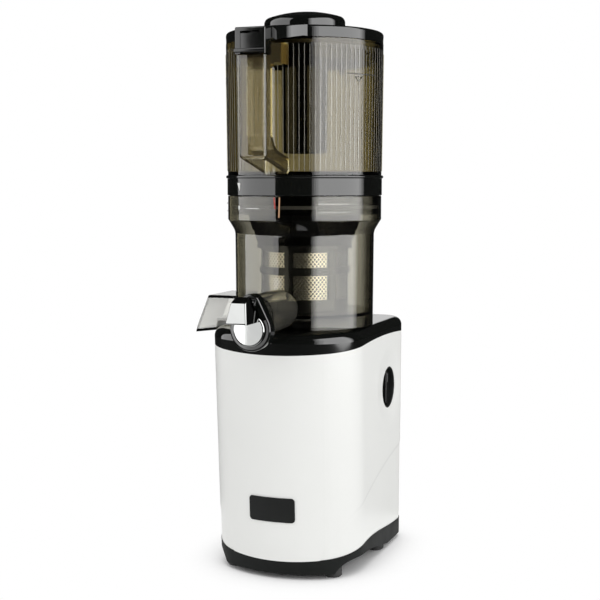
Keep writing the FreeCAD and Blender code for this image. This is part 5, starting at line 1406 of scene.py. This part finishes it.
@dataclass(frozen=True)
class Softbox:
    """Studio lamp on a bearing round the object, with sizes in metres."""

    name: str
    use: LampUse
    bearing: float
    wide: float
    tall: float
    height: float
    radiance: float
    distance: float = 1.5
    feather: float = 0.0
    sheets: int = 1
    apart: float = 10.0 * MM

    def build(self) -> None:
        """Place the lamp, as nested sheets where its sides fade."""
        for k in range(self.sheets):
            share = 2.0 * (k + 0.5) / self.sheets - 1.0
            wide = self.wide + share * self.feather
            self.sheet(f"{self.name}_{k}", wide, self.distance + k * self.apart)

    def sheet(self, name: str, wide: float, distance: float) -> None:
        """Place one sheet of the lamp so that it faces the object.

        Args:
            name: Name of the sheet.
            wide: Its width in metres.
            distance: Metres from the middle of the set.
        """
        lamp = bpy.data.lights.new(name, "AREA")
        lamp.shape = "RECTANGLE"
        lamp.size = wide
        lamp.size_y = self.tall
        lamp.energy = self.radiance / self.sheets * LAMP_POWER * wide * self.tall
        thing = linked(bpy.data.objects.new(name, lamp))
        thing.location = around(self.bearing, distance, self.height)
        thing.rotation_euler = Euler((math.radians(90.0), 0.0, math.radians(self.bearing)), "XYZ")
        mirrored = self.use is LampUse.MIRRORED
        thing.visible_camera = False
        thing.visible_glossy = mirrored
        thing.visible_transmission = mirrored
        thing.visible_diffuse = not mirrored
        LOG.info("lamp %s", name)


# Two tall softboxes with a dark gap, a low kicker for the spout and two that shade the shell
SOFTBOXES = (
    Softbox(
        "softbox_right", LampUse.MIRRORED, bearing=74.0, wide=1.645, tall=1.8, height=0.9,
        radiance=3.7, distance=1.05, feather=0.4, sheets=4,
    ),
    Softbox(
        "softbox_left", LampUse.MIRRORED, bearing=-57.5, wide=1.736, tall=2.4, height=1.2,
        radiance=2.1, distance=1.2,
    ),
    Softbox(
        "kicker_left", LampUse.MIRRORED, bearing=-23.5, wide=0.3, tall=0.16, height=0.085,
        radiance=1.5, distance=1.15,
    ),
    Softbox(
        "shading_right", LampUse.SHADING, bearing=70.0, wide=1.0, tall=1.2, height=0.8, radiance=1.72,
    ),
    Softbox(
        "shading_left", LampUse.SHADING, bearing=-40.0, wide=1.0, tall=1.2, height=0.8, radiance=0.58,
    ),
)


@dataclass
class Studio:
    """White sweep with black flags beside it, softboxes and the camera at the photograph's place."""

    finishes: Finishes
    camera_place: Triple = (0.40675, -1.0082, 0.3479)
    camera_pitch: float = 5.569
    camera_turn: float = 21.0
    lens: float = 72.0
    sensor: float = 36.0
    clip_start: float = 0.01
    ambient: float = 0.86
    floor_reach: float = 6.0
    flag_reach: float = 2.4
    flag_lift: float = 0.004
    flag_top: float = 3.0
    flag_gap: float = 15.0
    flag_step: int = 4
    header: float = 0.75
    apron_start: float = 0.2

    def camera(self) -> None:
        """Set the camera up."""
        data = bpy.data.cameras.new("camera")
        data.lens = self.lens
        data.sensor_width = self.sensor
        data.clip_start = self.clip_start
        camera = linked(bpy.data.objects.new("camera", data))
        camera.location = self.camera_place
        tilt = math.radians(90.0 - self.camera_pitch)
        camera.rotation_euler = Euler((tilt, 0.0, math.radians(self.camera_turn)), "XYZ")
        bpy.context.scene.camera = camera

    def floor(self) -> None:
        """Lay the floor, one large square."""
        reach = self.floor_reach
        corners = ((-reach, -reach), (reach, -reach), (reach, reach), (-reach, reach))
        sketch = Sketch()
        sketch.face(sketch.row((x, y, 0.0) for x, y in corners))
        floor = sketch.piece("floor")
        self.finishes.wear(floor, "floor_white")
        LOG.info("stage floor")

    def flags(self) -> None:
        """Hang black cloth round, over and below the set, open behind the object to the white sweep."""
        behind = self.camera_turn + 180.0
        first = round(behind + self.flag_gap)
        last = round(behind + 360.0 - self.flag_gap)
        turns = range(first, last + 1, self.flag_step)
        sketch = Sketch()
        low = sketch.row(around(turn, self.flag_reach, self.flag_lift) for turn in turns)
        high = sketch.row(around(turn, self.flag_reach, self.flag_top) for turn in turns)
        sketch.band(low, high)
        sketch.face(high)
        ends = sketch.row(around(turn, self.flag_reach, self.header) for turn in (turns[-1], turns[0]))
        sketch.face((high[-1], high[0], ends[1], ends[0]))
        apron = sketch.row(around(turn, self.apron_start, self.flag_lift) for turn in turns)
        sketch.band(apron, low)
        cloth = sketch.piece("flags")
        self.finishes.wear(cloth, "flag_cloth")
        cloth.visible_camera = False
        cloth.visible_diffuse = False
        cloth.visible_transmission = False
        cloth.visible_shadow = False
        LOG.info("stage flags")

    def world(self) -> None:
        """Set a white surround for what the picture shows, and an even light for the rest."""
        world = bpy.data.worlds.new("studio")
        world.use_nodes = True
        bpy.context.scene.world = world
        graph = Graph(world.node_tree)
        white = graph.signal("ShaderNodeBackground", inputs={"Color": WHITE, "Strength": 1.0})
        even = graph.signal("ShaderNodeBackground", inputs={"Color": WHITE, "Strength": self.ambient})
        graph.node("ShaderNodeOutputWorld", inputs={"Surface": graph.mixed(graph.shown(), even, white)})

    def build(self) -> None:
        """Set up view, camera, floor, flags, surround and lamps."""
        bpy.context.scene.view_settings.view_transform = "Standard"
        self.camera()
        self.floor()
        self.flags()
        self.world()
        for softbox in SOFTBOXES:
            softbox.build()


def main() -> None:
    """Make the finishes and the studio, then dress the machine from the floor up."""
    logging.basicConfig(level=logging.INFO, format="%(message)s")
    finishes = Finishes()
    Studio(finishes).build()
    for group in (MotorBase(), JuicingBowl(), Hopper(), Lid()):
        group.build(finishes)


if __name__ == "__main__":
    main()
